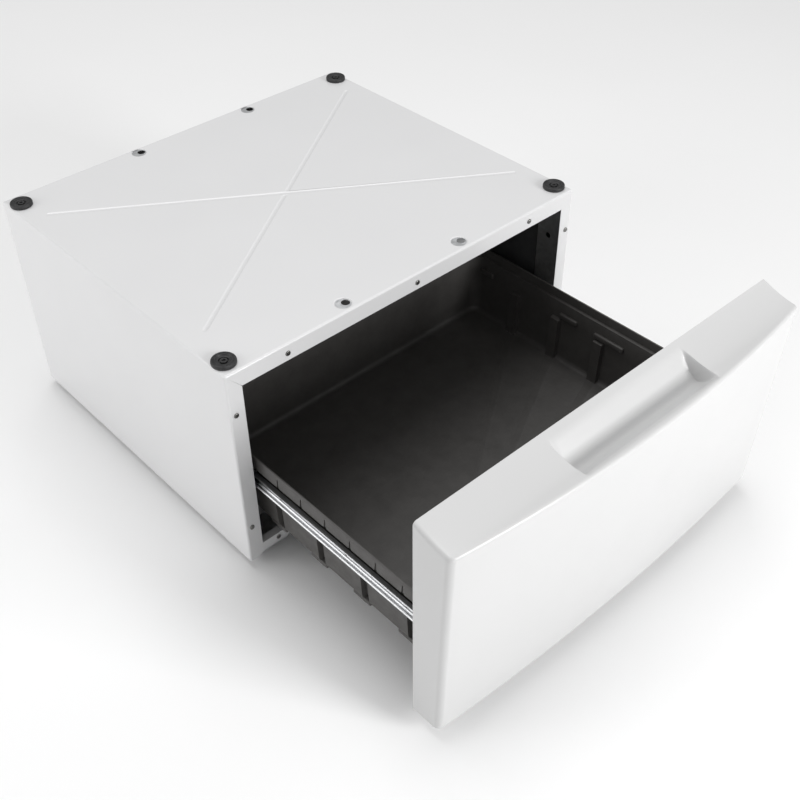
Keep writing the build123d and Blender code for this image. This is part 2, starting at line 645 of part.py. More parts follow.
def drawer_bin():
    """Moulded tub: walls that step outwards to the rim, a skirt, grooved sides, feet and screw bosses."""
    centre = (BIN_FRONT + BIN_BACK) / 2
    length = BIN_BACK - BIN_FRONT
    outer = bin_shell(BIN_BOTTOM_HALF, BIN_TOP_HALF, 0, BIN_FLOOR, BIN_LEDGE, 22, 9)
    rim_plan = RectangleRounded(2 * BIN_RIM_HALF, length, 26)
    rim_inside = RectangleRounded(2 * (BIN_RIM_HALF - SKIRT), length - 2 * SKIRT, 26 - SKIRT)
    step = extrude(Pos(0, centre, BIN_LEDGE - BIN_WALL) * rim_plan, BIN_WALL)
    skirt = extrude(Pos(0, centre, SKIRT_BOTTOM) * (rim_plan - rim_inside), BIN_RIM - SKIRT_BOTTOM)
    skirt = fillet(skirt.edges().group_by(Axis.Z)[-1], 1.2)
    tub = outer + step + skirt
    feet = []
    for y in groove_places():
        foot = left_block(268, 297, y - 6, y + 31, BIN_FLOOR - 7, BIN_FLOOR + 6)
        foot = fillet(foot.edges().filter_by(Axis.Y).group_by(Axis.Z)[0], 5)
        feet.append(foot)
        feet.append(mirrored(foot))
    tub = joined([tub] + feet)
    rail_seat = left_block(298, RAIL_WEB, BIN_FRONT + 6, BIN_BACK - 8, SLIDE_Z - 8, SLIDE_Z + 4)
    tub = tub + rail_seat + mirrored(rail_seat)
    low_half = BIN_BOTTOM_HALF - BIN_WALL
    high_half = BIN_TOP_HALF - BIN_WALL
    cavity = bin_shell(low_half, high_half, BIN_WALL, BIN_FLOOR + BIN_WALL, BIN_LEDGE + 0.5, 19, 7)
    cavity += extrude(Pos(0, centre, BIN_LEDGE) * rim_inside, BIN_RIM + 1 - BIN_LEDGE)
    for y in groove_places():
        bar = bin_pilaster(y, 11, GROOVE_WIDTH / 2 + 3, SLIDE_Z - 8)
        cavity = cavity - bar - mirrored(bar)
    tub -= cavity
    for y in groove_places():
        groove = bin_pilaster(y, 7.5, GROOVE_WIDTH / 2, SLIDE_Z - 12)
        groove -= left_block(280, 400, y - 20, y + 20, BIN_FLOOR - 10, BIN_FLOOR + 3)
        tub = tub - groove - mirrored(groove)
    for y in notch_places():
        notch = skirt_notch(y)
        tub = tub - notch - mirrored(notch)
    return finish_bin(tub)


def finish_bin(tub):
    """Bosses for the front's and the slides' screws, and the raised bars inside the side walls."""
    for x in FRONT_SCREW_X:
        for z in FRONT_SCREW_Z:
            tub += rod((x, BIN_FRONT, z), (0, 1, 0), 9, 15)
    for x in FRONT_SCREW_X:
        for z in FRONT_SCREW_Z:
            tub -= rod((x, BIN_FRONT - 1, z), (0, 1, 0), FRONT_SCREW_HOLE, 20)
    for y0, y1 in ((-170, -109), (-72, -34), (-330, -290), (120, 150)):
        bar = left_block(295.5, 302, y0, y1, SLIDE_Z - 5, SLIDE_Z + 5)
        bar = fillet(bar.edges().filter_by(Axis.X), 3)
        tub = tub + bar + mirrored(bar)
    for y in SCREW_STATIONS:
        hole = rod((-RAIL_WEB - 1, y, SLIDE_Z), (1, 0, 0), PILOT, RAIL_SCREW_LENGTH + 0.6)
        tub = tub - hole - mirrored(hole)
    return tub


# ---------------------------------------------------------------- drawer front
def front_plan(z, end_y, middle_y, inset):
    """Outline of the drawer front at one height: flat back, bowed face."""
    half = CABINET_WIDTH / 2 - inset
    back = FRONT_BACK + (5 if inset else 0)
    face = ThreePointArc((-half, end_y + inset), (0, middle_y + inset), (half, end_y + inset))
    left = Line((-half, back), (-half, end_y + inset))
    right = Line((half, end_y + inset), (half, back))
    rear = Line((half, back), (-half, back))
    return Pos(0, 0, z) * make_face([left, face, right, rear])


def front_block(inset):
    """Solid drawer front up to the height of its back upper edge, before its top is shaped."""
    rise = (FRONT_TOP - FRONT_BOTTOM - inset) / (FRONT_TOP - FRONT_BOTTOM)
    low = front_plan(FRONT_BOTTOM + inset, LOW_END_Y + (HIGH_END_Y - LOW_END_Y) * (1 - rise),
                     LOW_MIDDLE_Y + (HIGH_MIDDLE_Y - LOW_MIDDLE_Y) * (1 - rise), inset)
    high = front_plan(FRONT_TOP + 2, HIGH_END_Y, HIGH_MIDDLE_Y, inset)
    return loft([low, high], ruled=True)


def top_cutter(drop):
    """Takes away what is above the coved top: an arc that runs out level behind the lip."""
    run = 54.0
    fall = FRONT_TOP - LIP_TOP
    radius = (run**2 + fall**2) / (2 * fall)
    half_angle = math.atan2(run, radius - fall) / 2
    knee_y = FRONT_BACK - run
    middle = (knee_y + radius * math.sin(half_angle), LIP_TOP - drop + radius * (1 - math.cos(half_angle)))
    cove = ThreePointArc((FRONT_BACK, FRONT_TOP - drop), middle, (knee_y, LIP_TOP - drop))
    level = Line((knee_y, LIP_TOP - drop), (-460, LIP_TOP - drop))
    front = Line((-460, LIP_TOP - drop), (-460, 400))
    top = Line((-460, 400), (-330, 400))
    back = Line((-330, 400), (-330, FRONT_TOP - drop))
    close = Line((-330, FRONT_TOP - drop), (FRONT_BACK, FRONT_TOP - drop))
    face = Plane.YZ * make_face([cove, level, front, top, back, close])
    return extrude(face, CABINET_WIDTH / 2 + 10, both=True)


def pocket(grow):
    """Finger pocket behind the lip, or the same grown by a wall."""
    base = 344 - grow
    back = [(-366 + grow, 386), (-396 + grow, base)]
    front = [(-409 - grow, base), (-430 - grow, LIP_TOP + 1), (-430 - grow, 386)]
    outline = Polygon(*back, *front, align=None)
    low = outline.vertices().filter_by(lambda v: v.Y < base + 1)
    outline = fillet(low, 6)
    return extrude(Plane.YZ * outline, POCKET_HALF + grow, both=True)


def drawer_front():
    """Moulded white front: bowed face leaning outwards, coved top, rounded lip and finger pocket."""
    body = front_block(0) - top_cutter(0)
    upright = body.edges().filter_by(lambda e: e.center().Y < FRONT_BACK - 20 and abs(e.center().X) > 340
                                     and e.length > 200)
    body = fillet(upright, 9)
    level = body.edges().filter_by(lambda e: abs(e.center().Z - LIP_TOP) < 0.5)
    body = fillet(level.filter_by(lambda e: e.center().Y < HIGH_END_Y + 8), 5)
    hollow = front_block(FRONT_WALL) - top_cutter(FRONT_WALL) - pocket(FRONT_WALL)
    half = CABINET_WIDTH / 2 - FRONT_WALL
    low = FRONT_BOTTOM + FRONT_WALL
    hollow += block(-half, half, FRONT_BACK - 8, FRONT_BACK + 1, low, FRONT_TOP - 10)
    for x in FRONT_SCREW_X:
        for z in FRONT_SCREW_Z:
            hollow -= rod((x, FRONT_BACK, z), (0, -1, 0), 5, 90)
    body -= hollow
    body -= pocket(0)
    for x in FRONT_SCREW_X:
        for z in FRONT_SCREW_Z:
            body -= rod((x, FRONT_BACK + 1, z), (0, -1, 0), FRONT_SCREW_HOLE, 26)
    return body


def inner_panel():
    """Grey steel sheet that closes the back of the drawer front."""
    plan = Pos(0, (30 + 381) / 2) * RectangleRounded(2 * 339, 381 - 30, 6)
    plane = Plane(origin=(0, FRONT_BACK + PANEL_SHEET, 0), x_dir=(1, 0, 0), z_dir=(0, -1, 0))
    panel = extrude(plane * plan, PANEL_SHEET)
    for x in FRONT_SCREW_X:
        for z in FRONT_SCREW_Z:
            panel -= rod((x, FRONT_BACK - 1, z), (0, 1, 0), FRONT_SCREW_HOLE, 6)
    return panel


def front_bumpers():
    """Rubber discs on the inner panel that meet the cabinet's side flanges."""
    face = FRONT_BACK + PANEL_SHEET
    discs = [rod((x, face, z), (0, 1, 0), 6, BUMPER) for x in (-330, 330) for z in (60, 330)]
    return group([chamfer(disc.edges().group_by(Axis.Y)[-1], 0.6) for disc in discs])


def front_screws():
    """Screws from inside the bin into the drawer front."""
    seats = [(x, BIN_FRONT + 15, z) for x in FRONT_SCREW_X for z in FRONT_SCREW_Z]
    return group([pan_screw(seat, (0, 1, 0), 5, 2.6, 1.8, 38) for seat in seats])


# ---------------------------------------------------------------- files
def both_sides(name, left):
    """A left part and its mirror image."""
    return {"left_" + name: left, "right_" + name: mirrored(left)}


def cabinet_parts():
    front_screw_heads = [pan_screw(s, (0, -1, 0), 4, 1.9, 1.8, 10) for s in flange_screw_seats()]
    rail_seats = [(x, SHEET + 0.2, RAIL_SCREW_Z) for x in (-RAIL_SCREW_X, RAIL_SCREW_X)]
    front_screw_heads += [pan_screw(s, (0, -1, 0), 4, 1.2, 1.8, 10) for s in rail_seats]
    parts = {
        "cabinet_wrap": cabinet_wrap(),
        "back_panel": back_panel(),
        "front_rail": front_rail(),
        "rear_rail": rear_rail(),
        "deck_brace_front": deck_brace_front(),
        "deck_brace_rear": deck_brace_rear(),
        "front_flange_screws": group(front_screw_heads),
        "back_panel_screws": group([pan_screw(s, (0, 1, 0), 4, 2.2, 1.8, 5) for s in back_screw_seats()]),
        "foot_lock_nuts": lock_nuts(),
        "foot_weld_nuts": weld_nuts(),
        "rear_stops": group([rear_stop(), mirrored(rear_stop())]),
    }
    parts.update(both_sides("corner_bracket_front", corner_bracket_front()))
    parts.update(both_sides("corner_bracket_rear", corner_bracket_rear()))
    parts.update(both_sides("front_post", front_post()))
    parts.update(both_sides("rear_post", post(*REAR_POST, RAIL_SCREW_Y[1], PAD_REAR_Y)))
    parts.update(both_sides("cabinet_rail", cabinet_rail()))
    screws = cabinet_rail_screws()
    parts["cabinet_rail_screws"] = group(screws + [mirrored(s) for s in screws])
    for corner, (x, y) in pad_places().items():
        parts["deck_pad_" + corner] = deck_pad(x, y)
    return parts


def moving_parts():
    screws = drawer_rail_screws()
    parts = {
        "drawer_bin": drawer_bin(),
        "drawer_front": drawer_front(),
        "drawer_inner_panel": inner_panel(),
        "drawer_bumpers": front_bumpers(),
        "drawer_front_screws": front_screws(),
        "drawer_rail_screws": group(screws + [mirrored(s) for s in screws]),
    }
    parts.update(both_sides("drawer_rail", drawer_rail()))
    parts.update(both_sides("upper_retainer", retainer(BALL_RISE)))
    parts.update(both_sides("lower_retainer", retainer(-BALL_RISE)))
    parts.update(both_sides("release_lever", release_lever()))
    parts.update(both_sides("lever_pin", lever_pin()))
    balls = slide_balls()
    parts["left_slide_balls"] = group(balls)
    parts["right_slide_balls"] = group([mirrored(ball) for ball in balls])
    for corner, (x, y) in foot_places().items():
        parts["foot_pad_" + corner] = foot_pad(x, y)
        parts["foot_stem_" + corner] = foot_stem(x, y)
    return parts


for name, part in {**cabinet_parts(), **moving_parts()}.items():
    export_step(part, "parts/" + name + ".step")
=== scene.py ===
import json
import math

import bmesh
import bpy
from mathutils import Matrix, Vector


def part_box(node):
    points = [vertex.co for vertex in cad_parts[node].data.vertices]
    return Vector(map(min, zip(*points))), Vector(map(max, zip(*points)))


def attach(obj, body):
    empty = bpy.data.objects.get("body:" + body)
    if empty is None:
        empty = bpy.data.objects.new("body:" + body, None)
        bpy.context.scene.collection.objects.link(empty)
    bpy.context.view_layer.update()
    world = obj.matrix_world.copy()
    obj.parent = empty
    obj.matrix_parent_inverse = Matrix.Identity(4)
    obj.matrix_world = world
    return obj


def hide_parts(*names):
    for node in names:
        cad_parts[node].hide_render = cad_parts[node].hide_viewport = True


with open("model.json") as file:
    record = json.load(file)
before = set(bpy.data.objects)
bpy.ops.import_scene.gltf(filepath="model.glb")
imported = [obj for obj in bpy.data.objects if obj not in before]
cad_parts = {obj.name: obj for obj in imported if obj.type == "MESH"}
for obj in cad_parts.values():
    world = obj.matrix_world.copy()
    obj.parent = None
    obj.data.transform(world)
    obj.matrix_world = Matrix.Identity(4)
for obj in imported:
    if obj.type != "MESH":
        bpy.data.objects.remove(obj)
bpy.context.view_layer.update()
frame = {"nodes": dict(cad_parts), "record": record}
MM = 0.001

# ---------------------------------------------------------------- sizes
# The outer boxes come from the frame. The other sizes repeat those of the CAD, or refine it.
WRAP_LOW, WRAP_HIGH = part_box("cabinet_wrap")
FRONT_LOW, FRONT_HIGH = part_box("drawer_front")
BIN_LOW, BIN_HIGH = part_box("drawer_bin")
DRAWER_RAIL_LOW, DRAWER_RAIL_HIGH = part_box("left_drawer_rail")
CABINET_RAIL_LOW, CABINET_RAIL_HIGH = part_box("left_cabinet_rail")
BALLS_LOW, BALLS_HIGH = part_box("left_slide_balls")
CORNERS = ("front_left", "front_right", "rear_left", "rear_right")
SIDES = {"left": -1, "right": 1}

# cabinet sheet
HALF_WIDTH = WRAP_HIGH.x
DEPTH = WRAP_HIGH.y
DECK = 375 * MM
SHEET = 1.2 * MM
BEND = 3.5 * MM
HALF_OPENING = 318 * MM
OPENING_TOP = 347.4 * MM
OPENING_CORNER = 12 * MM
BACK_FLANGE = 15 * MM
SEAM = 0.3 * MM

# stamped cross, deck holes
BEAD_WIDTH = 4.6 * MM
BEAD_DEPTH = 1.0 * MM
BEAD_GAP = 9 * MM
BEAD_BACK_LEFT = Vector((-307, 513)) * MM
BEAD_FRONT_RIGHT = Vector((313, 102)) * MM
BEAD_FRONT_LEFT = Vector((-302, 101)) * MM
BEAD_BACK_RIGHT = Vector((306, 516)) * MM
# (millimetres inwards, share of the depth)
BEAD_SECTION = [(0, 0), (0.7, 0.10), (1.3, 0.38), (1.9, 0.72), (2.6, 0.95), (3.3, 1.0)]
BOLT_SPACING = 228.6 * MM
# (radius, depth) in millimetres
HOLE_SECTION = [(13.9, 0), (13.5, 0.12), (13.2, 0.5), (12.9, 0.75), (12.2, 0.8), (12.0, 0.95)]
FRONT_HOLES = Vector((-11, 19)) * MM
REAR_HOLES = Vector((17, 583.7)) * MM
BEAD_END_STEPS = 12
HOLE_STEPS = 48
PAD_SEGMENTS = 72

# drawer front
FACE_LOW_END = -403.2 * MM
FACE_LOW_MIDDLE = -418.0 * MM
FACE_HIGH_END = -416.6 * MM
FACE_HIGH_MIDDLE = -442.5 * MM
FRONT_BACK = FRONT_HIGH.y
FRONT_BOTTOM = FRONT_LOW.z
FRONT_TOP = FRONT_HIGH.z
LIP_TOP = 367.6 * MM
COVE_RUN = 62 * MM
COVE_POWER = 1.6
LIP_SHARE = 0.075               # share of the depth in which the lip's round is drawn finer
LIP_LEVEL = 2 * MM
EDGE_ROUND = 9 * MM
LIP_ROUND = 5 * MM
TOP_ROUND = 5.5 * MM
BOTTOM_ROUND = 2 * MM
POCKET_HALF = 131 * MM
POCKET_FLOOR = 344 * MM
POCKET_BLEND = 2.2 * MM
POCKET_EDGE = 5 * MM
POCKET_BACK, POCKET_BACK_SLOPE, POCKET_BACK_ROUND = 10 * MM, 1.32, 14 * MM
POCKET_FRONT, POCKET_FRONT_SLOPE, POCKET_FRONT_ROUND = 55 * MM, 1.25, 12 * MM

# bin
RIM = BIN_HIGH.z
RIM_HALF = BIN_HIGH.x
BIN_FRONT = BIN_LOW.y
BIN_BACK = BIN_HIGH.y
BIN_FLOOR = 76 * MM
BIN_BOTTOM_HALF = 299 * MM
BIN_TOP_HALF = 304.5 * MM
BIN_WALL = 3 * MM
BIN_ROUND = 9 * MM
BIN_END_LEAN = 5 * MM
OUTER_CORNER = 22 * MM
INNER_CORNER = 19 * MM
LEDGE_CORNER = 24.5 * MM
RIM_CORNER = 26 * MM
CORNER_STEPS = 8
RIM_INSET = 5.2 * MM
BIN_LEDGE = 189.5 * MM
SKIRT_BOTTOM = 182.3 * MM
SKIRT = 3 * MM
GROOVE_FIRST = -307.3 * MM
GROOVE_PITCH = 92.9 * MM
GROOVE_COUNT = 5
GROOVE_HALF = 6 * MM
GROOVE_DEPTH = 7.5 * MM
GROOVE_EDGE = 1.2 * MM
GROOVE_START = 3 * MM
PILLAR_HALF = GROOVE_HALF + 3 * MM
PILLAR_DEPTH = 8 * MM
NOTCH_FIRST = -301.3 * MM
NOTCH_PITCH = 51.2 * MM
NOTCH_COUNT = 9
NOTCH_DEPTH = 1.6 * MM
NOTCH_TOP = RIM - 7 * MM
NOTCH_WALL = 0.08 * MM
NOTCH_LOW_HALF = 2.6 * MM
NOTCH_NARROWING = 2.0 * MM

# slides
SLIDE_Z = (BALLS_LOW.z + BALLS_HIGH.z) / 2
BALL_S = -(BALLS_LOW.x + BALLS_HIGH.x) / 2
BALL_RISE = (BALLS_HIGH.z - BALLS_LOW.z) / 2 - 2.5 * MM
RACE_MID = 3.2 * MM
RAIL_SHEET = 1.15 * MM
GROOVE_TOP = SLIDE_Z - 12 * MM
PILLAR_TOP = SLIDE_Z - 8 * MM

# blocks on the bin: ranges of distance outwards, of y and of z; a foot's y is from its groove
FOOT_OUT = (268 * MM, 297 * MM)
FOOT_ALONG = (-6 * MM, 31 * MM)
FOOT_Z = (BIN_FLOOR - 7 * MM, BIN_FLOOR + 2 * MM)
SEAT_OUT = (301.5 * MM, 307.6 * MM)
SEAT_Y = (BIN_FRONT + 6 * MM, BIN_BACK - 8 * MM)
SEAT_Z = (SLIDE_Z - 8 * MM, SLIDE_Z + 4 * MM)
BAR_OUT = (295.5 * MM, 302 * MM)
BAR_Z = (SLIDE_Z - 5 * MM, SLIDE_Z + 5 * MM)
# and these in millimetres
BARS_Y = ((-170, -109), (-72, -34), (-330, -290), (120, 150))
BOSS_X = (-240, 0, 240)
BOSS_Y = (-354.0, -339.2)
BOSS_Z = (108, 182)
BOSS_HALF = 9

# studio and camera
FLOOR_HALF = 8
FLOOR_DROP = 0.0003
WORLD_STRENGTH = 0.42
CAMERA_PLACE = (-0.92010, -0.97213, 1.30208)
CAMERA_ANGLES = (-42.259, 41.158, -0.640)
CAMERA_LENS = 50.324
CAMERA_SENSOR = 36


# ---------------------------------------------------------------- materials
class Finish:
    """A Principled material with short ways to add the nodes that vary it."""

    def __init__(self, name, color, roughness, metallic=0.0):
        self.material = bpy.data.materials.new(name)
        self.material.use_nodes = True
        self.tree = self.material.node_tree
        self.shader = self.tree.nodes["Principled BSDF"]
        self.shader.inputs["Base Color"].default_value = (*color, 1)
        self.shader.inputs["Roughness"].default_value = roughness
        self.shader.inputs["Metallic"].default_value = metallic
        self.place = self.tree.nodes.new("ShaderNodeTexCoord").outputs["Object"]

    def add(self, kind):
        return self.tree.nodes.new(kind)

    def link(self, source, target):
        self.tree.links.new(source, target)

    def stretched(self, scale):
        """Object coordinates with each axis scaled."""
        mapping = self.add("ShaderNodeMapping")
        mapping.inputs["Scale"].default_value = scale
        self.link(self.place, mapping.inputs["Vector"])
        return mapping.outputs["Vector"]

    def noise(self, scale, detail, roughness=0.55, vector=None):
        """Noise between 0 and 1. The scale is in waves to the metre."""
        node = self.add("ShaderNodeTexNoise")
        node.inputs["Scale"].default_value = scale
        node.inputs["Detail"].default_value = detail
        node.inputs["Roughness"].default_value = roughness
        self.link(vector or self.place, node.inputs["Vector"])
        return node.outputs["Fac"]

    def cells(self, scale):
        """A different value in each cell of a crystal pattern."""
        node = self.add("ShaderNodeTexVoronoi")
        node.inputs["Scale"].default_value = scale
        self.link(self.place, node.inputs["Vector"])
        return node.outputs["Color"]

    def ramp(self, value, low, high, start, end):
        """Value spread between two numbers or two colours."""
        if isinstance(low, tuple):
            node = self.add("ShaderNodeValToRGB")
            node.color_ramp.elements[0].position = start
            node.color_ramp.elements[0].color = (*low, 1)
            node.color_ramp.elements[1].position = end
            node.color_ramp.elements[1].color = (*high, 1)
            self.link(value, node.inputs["Fac"])
            return node.outputs["Color"]
        node = self.add("ShaderNodeMapRange")
        node.inputs["From Min"].default_value = start
        node.inputs["From Max"].default_value = end
        node.inputs["To Min"].default_value = low
        node.inputs["To Max"].default_value = high
        self.link(value, node.inputs["Value"])
        return node.outputs["Result"]

    def color(self, value, low, high, start=0.3, end=0.7):
        self.link(self.ramp(value, low, high, start, end), self.shader.inputs["Base Color"])

    def rough(self, value, low, high, start=0.3, end=0.7):
        self.link(self.ramp(value, low, high, start, end), self.shader.inputs["Roughness"])

    def bump(self, *layers):
        """Bump from (height, distance in metres, strength) layers, one on another."""
        normal = None
        for height, distance, strength in layers:
            node = self.add("ShaderNodeBump")
            node.inputs["Distance"].default_value = distance
            node.inputs["Strength"].default_value = strength
            self.link(height, node.inputs["Height"])
            if normal:
                self.link(normal, node.inputs["Normal"])
            normal = node.outputs["Normal"]
        self.link(normal, self.shader.inputs["Normal"])

    def coat(self, weight, roughness):
        self.shader.inputs["Coat Weight"].default_value = weight
        self.shader.inputs["Coat Roughness"].default_value = roughness


def white_enamel():
    """Baked enamel on steel: a clear gloss over white, with a faint orange peel."""
    f = Finish("white_enamel", (0.76, 0.76, 0.765), 0.34)
    f.color(f.noise(5, 2), (0.75, 0.75, 0.755), (0.77, 0.77, 0.775), 0.2, 0.8)
    f.rough(f.noise(14, 3), 0.29, 0.38, 0.2, 0.8)
    f.bump((f.noise(300, 1), 0.00005, 0.2), (f.noise(9, 1), 0.0006, 0.04))
    f.coat(0.35, 0.16)
    return f.material


def painted_shade_back_coat():
    """Dark grey coat on the inner side of the sheet: painted shade for the dim, unlit inside of the cabinet.
    """
    f = Finish("painted_shade_back_coat", (0.10, 0.10, 0.105), 0.6)
    f.color(f.noise(12, 5), (0.07, 0.07, 0.073), (0.13, 0.13, 0.135))
    f.rough(f.noise(30, 4), 0.5, 0.7)
    f.bump((f.noise(600, 3), 0.00005, 0.3))
    return f.material


def white_plastic():
    """Painted moulding of the drawer front: a softer gloss than the enamel's."""
    f = Finish("white_plastic", (0.62, 0.62, 0.62), 0.36)
    f.color(f.noise(4, 2), (0.61, 0.61, 0.61), (0.63, 0.63, 0.63), 0.2, 0.8)
    f.rough(f.noise(18, 3), 0.31, 0.40, 0.2, 0.8)
    f.bump((f.noise(380, 1), 0.00003, 0.2), (f.noise(7, 1), 0.0005, 0.03))
    f.coat(0.25, 0.2)
    return f.material


def charcoal_plastic():
    """Grained polypropylene of the bin, with paler scuffs."""
    f = Finish("charcoal_plastic", (0.076, 0.073, 0.07), 0.5)
    f.color(f.noise(35, 8, 0.7), (0.064, 0.061, 0.058), (0.092, 0.088, 0.084), 0.3, 0.8)
    f.rough(f.noise(60, 5), 0.42, 0.58)
    f.bump((f.noise(1500, 2), 0.00012, 0.5), (f.noise(12, 2), 0.0006, 0.08))
    return f.material


def galvanised():
    """Hot-dip zinc with its crystal spangle."""
    f = Finish("galvanised", (0.55, 0.56, 0.57), 0.38, 1.0)
    cells = f.cells(170)
    f.color(cells, (0.60, 0.61, 0.62), (0.70, 0.71, 0.72), 0.1, 0.9)
    f.rough(cells, 0.34, 0.44, 0.1, 0.9)
    f.bump((f.noise(300, 4), 0.00005, 0.3))
    return f.material


def bright_zinc():
    """Rolled, bright plated strip with fine draw lines along its length."""
    f = Finish("bright_zinc", (0.60, 0.61, 0.62), 0.32, 1.0)
    lines = f.noise(900, 3, 0.6, f.stretched((1, 0.01, 1)))
    f.color(lines, (0.52, 0.53, 0.54), (0.68, 0.68, 0.69), 0.2, 0.8)
    f.rough(lines, 0.26, 0.40, 0.2, 0.8)
    f.bump((lines, 0.00002, 0.2))
    return f.material


def zinc():
    """Plated fastener: grey with a faint yellow passivate."""
    f = Finish("zinc", (0.28, 0.28, 0.27), 0.35, 1.0)
    f.color(f.noise(260, 5), (0.20, 0.20, 0.205), (0.36, 0.355, 0.33))
    f.rough(f.noise(500, 4), 0.26, 0.46)
    f.bump((f.noise(1800, 3), 0.00004, 0.4))
    return f.material


def ball_steel():
    """Polished bearing steel with a trace of grease."""
    f = Finish("ball_steel", (0.78, 0.78, 0.80), 0.08, 1.0)
    f.color(f.noise(400, 3), (0.70, 0.70, 0.70), (0.82, 0.82, 0.83))
    f.rough(f.noise(350, 4), 0.05, 0.16)
    f.bump((f.noise(2500, 2), 0.00001, 0.2))
    return f.material


def grey_enamel():
    """Satin paint of the sheet behind the drawer front."""
    f = Finish("grey_enamel", (0.16, 0.16, 0.165), 0.45)
    f.color(f.noise(9, 4), (0.145, 0.145, 0.15), (0.18, 0.18, 0.185))
    f.rough(f.noise(25, 5), 0.38, 0.52)
    f.bump((f.noise(450, 2), 0.00006, 0.35))
    return f.material


def black_plastic():
    """Acetal of the levers and stops."""
    f = Finish("black_plastic", (0.018, 0.018, 0.018), 0.4)
    f.color(f.noise(80, 4), (0.014, 0.014, 0.014), (0.026, 0.026, 0.026))
    f.rough(f.noise(90, 4), 0.32, 0.5)
    f.bump((f.noise(1800, 2), 0.00004, 0.4))
    return f.material


def black_rubber():
    """Moulded rubber, slightly bloomed."""
    f = Finish("black_rubber", (0.02, 0.02, 0.021), 0.6)
    f.color(f.noise(140, 6, 0.7), (0.013, 0.013, 0.014), (0.040, 0.040, 0.041), 0.35, 0.8)
    f.rough(f.noise(200, 4), 0.45, 0.68)
    f.bump((f.noise(2400, 3), 0.00008, 0.5))
    return f.material


MATERIALS = {
    "white_enamel": white_enamel(),
    "white_plastic": white_plastic(),
    "charcoal_plastic": charcoal_plastic(),
    "galvanised": galvanised(),
    "bright_zinc": bright_zinc(),
    "zinc": zinc(),
    "ball_steel": ball_steel(),
    "grey_enamel": grey_enamel(),
    "black_plastic": black_plastic(),
    "black_rubber": black_rubber(),
    # dark coat of the sheet's inner side: painted shade for the unlit inside of the cabinet
    "painted_shade_back_coat": painted_shade_back_coat(),
}


def paint_nodes():
    """Every CAD node takes the finish of its material slot in the record."""
    slots = {part["node"]: part["material_slot"] for part in frame["record"]["subparts"]}
    for name, node in frame["nodes"].items():
        node.data.materials.clear()
        node.data.materials.append(MATERIALS[slots[name]])


# ---------------------------------------------------------------- mesh helpers
def piece(name, mesh, body, slot, *nodes, angle, extra=()):
    """Object from a bmesh, shaded smooth up to an angle, riding on a body and standing for CAD nodes."""
    data = bpy.data.meshes.new(name)
    mesh.to_mesh(data)
    mesh.free()
    for polygon in data.polygons:
        polygon.use_smooth = True
    data.set_sharp_from_angle(angle=math.radians(angle))
    obj = bpy.data.objects.new(name, data)
    bpy.context.scene.collection.objects.link(obj)
    for material in (slot, *extra):
        data.materials.append(MATERIALS[material])
    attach(obj, body)
    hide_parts(*nodes)
    return obj


def even_shading(obj):
    """Large flat faces keep their own normal, and only the bends and rounds between them blend."""
    weighted = obj.modifiers.new("even_shading", "WEIGHTED_NORMAL")
    weighted.keep_sharp = True
    weighted.weight = 90


def facing(face, direction):
    """Turns a face so that its normal goes along direction."""
    face.normal_update()
    if face.normal.dot(direction) < 0:
        face.normal_flip()


def lattice(mesh, rows, closed=False, outward=None):
    """Quads between rows of points that have the same count."""
    made = [[mesh.verts.new(point) for point in row] for row in rows]
    count = len(rows[0])
    for low, high in zip(made, made[1:]):
        for i in range(count if closed else count - 1):
            j = (i + 1) % count
            face = mesh.faces.new((low[i], low[j], high[j], high[i]))
            if outward:
                facing(face, outward(face.calc_center_median()))
    return made


def weld(mesh, distance=0.01 * MM):
    bmesh.ops.remove_doubles(mesh, verts=mesh.verts, dist=distance)


def lathe(profile, centre, segments):
    """Closed body of revolution about a vertical line, from (radius, height) points in order from below."""
    mesh = bmesh.new()
    turn = [2 * math.pi * i / segments for i in range(segments)]
    rows = [[centre + Vector((radius * math.cos(a), radius * math.sin(a), height)) for a in turn]
            for radius, height in profile]
    lattice(mesh, rows, closed=True)
    weld(mesh)
    bmesh.ops.recalc_face_normals(mesh, faces=mesh.faces)
    return mesh


def arc(cx, cy, radius, start, end, steps):
    """Points of a circular arc in a plane, angles in degrees."""
    angles = [math.radians(start + (end - start) * i / steps) for i in range(steps + 1)]
    return [Vector((cx + radius * math.cos(a), cy + radius * math.sin(a))) for a in angles]


def ribbon(path, thickness):
    """Outline of a strip of even thickness that follows a path in a plane."""
    left, right = [], []
    for i, point in enumerate(path):
        before = path[max(i - 1, 0)]
        after = path[min(i + 1, len(path) - 1)]
        along = (after - before).normalized()
        normal = Vector((-along.y, along.x)) * thickness / 2
        left.append(point + normal)
        right.append(point - normal)
    return left + right[::-1]


def rolled_strip(path, thickness, sign, y0, y1):
    """Strip whose section is given as (distance outwards, height), run along Y on one side."""
    mesh = bmesh.new()
    outline = ribbon(path, thickness)
    made = lattice(mesh, [[Vector((sign * p.x, y, p.y)) for p in outline] for y in (y0, y1)], closed=True)
    count = len(path)
    for row in (made[0], made[-1]):
        for i in range(count - 1):
            mesh.faces.new((row[i], row[i + 1], row[2 * count - 2 - i], row[2 * count - 1 - i]))
    bmesh.ops.recalc_face_normals(mesh, faces=mesh.faces)
    return mesh


def soft_block(mesh, low, high, radius, segments):
    """Box with rounded edges, added to a mesh."""
    made = bmesh.ops.create_cube(mesh, size=1)
    middle = (low + high) / 2
    size = high - low
    for vert in made["verts"]:
        vert.co = Vector(a * b for a, b in zip(vert.co, size)) + middle
    edges = {edge for vert in made["verts"] for edge in vert.link_edges}
    bmesh.ops.bevel(mesh, geom=list(edges), offset=radius, segments=segments, affect="EDGES", profile=0.5)


def side_block(mesh, sign, outs, ys, zs, radius, segments):
    """Rounded block on one side, from ranges of distance outwards, y and z."""
    x0, x1 = sorted(sign * out for out in outs)
    soft_block(mesh, Vector((x0, ys[0], zs[0])), Vector((x1, ys[1], zs[1])), radius, segments)


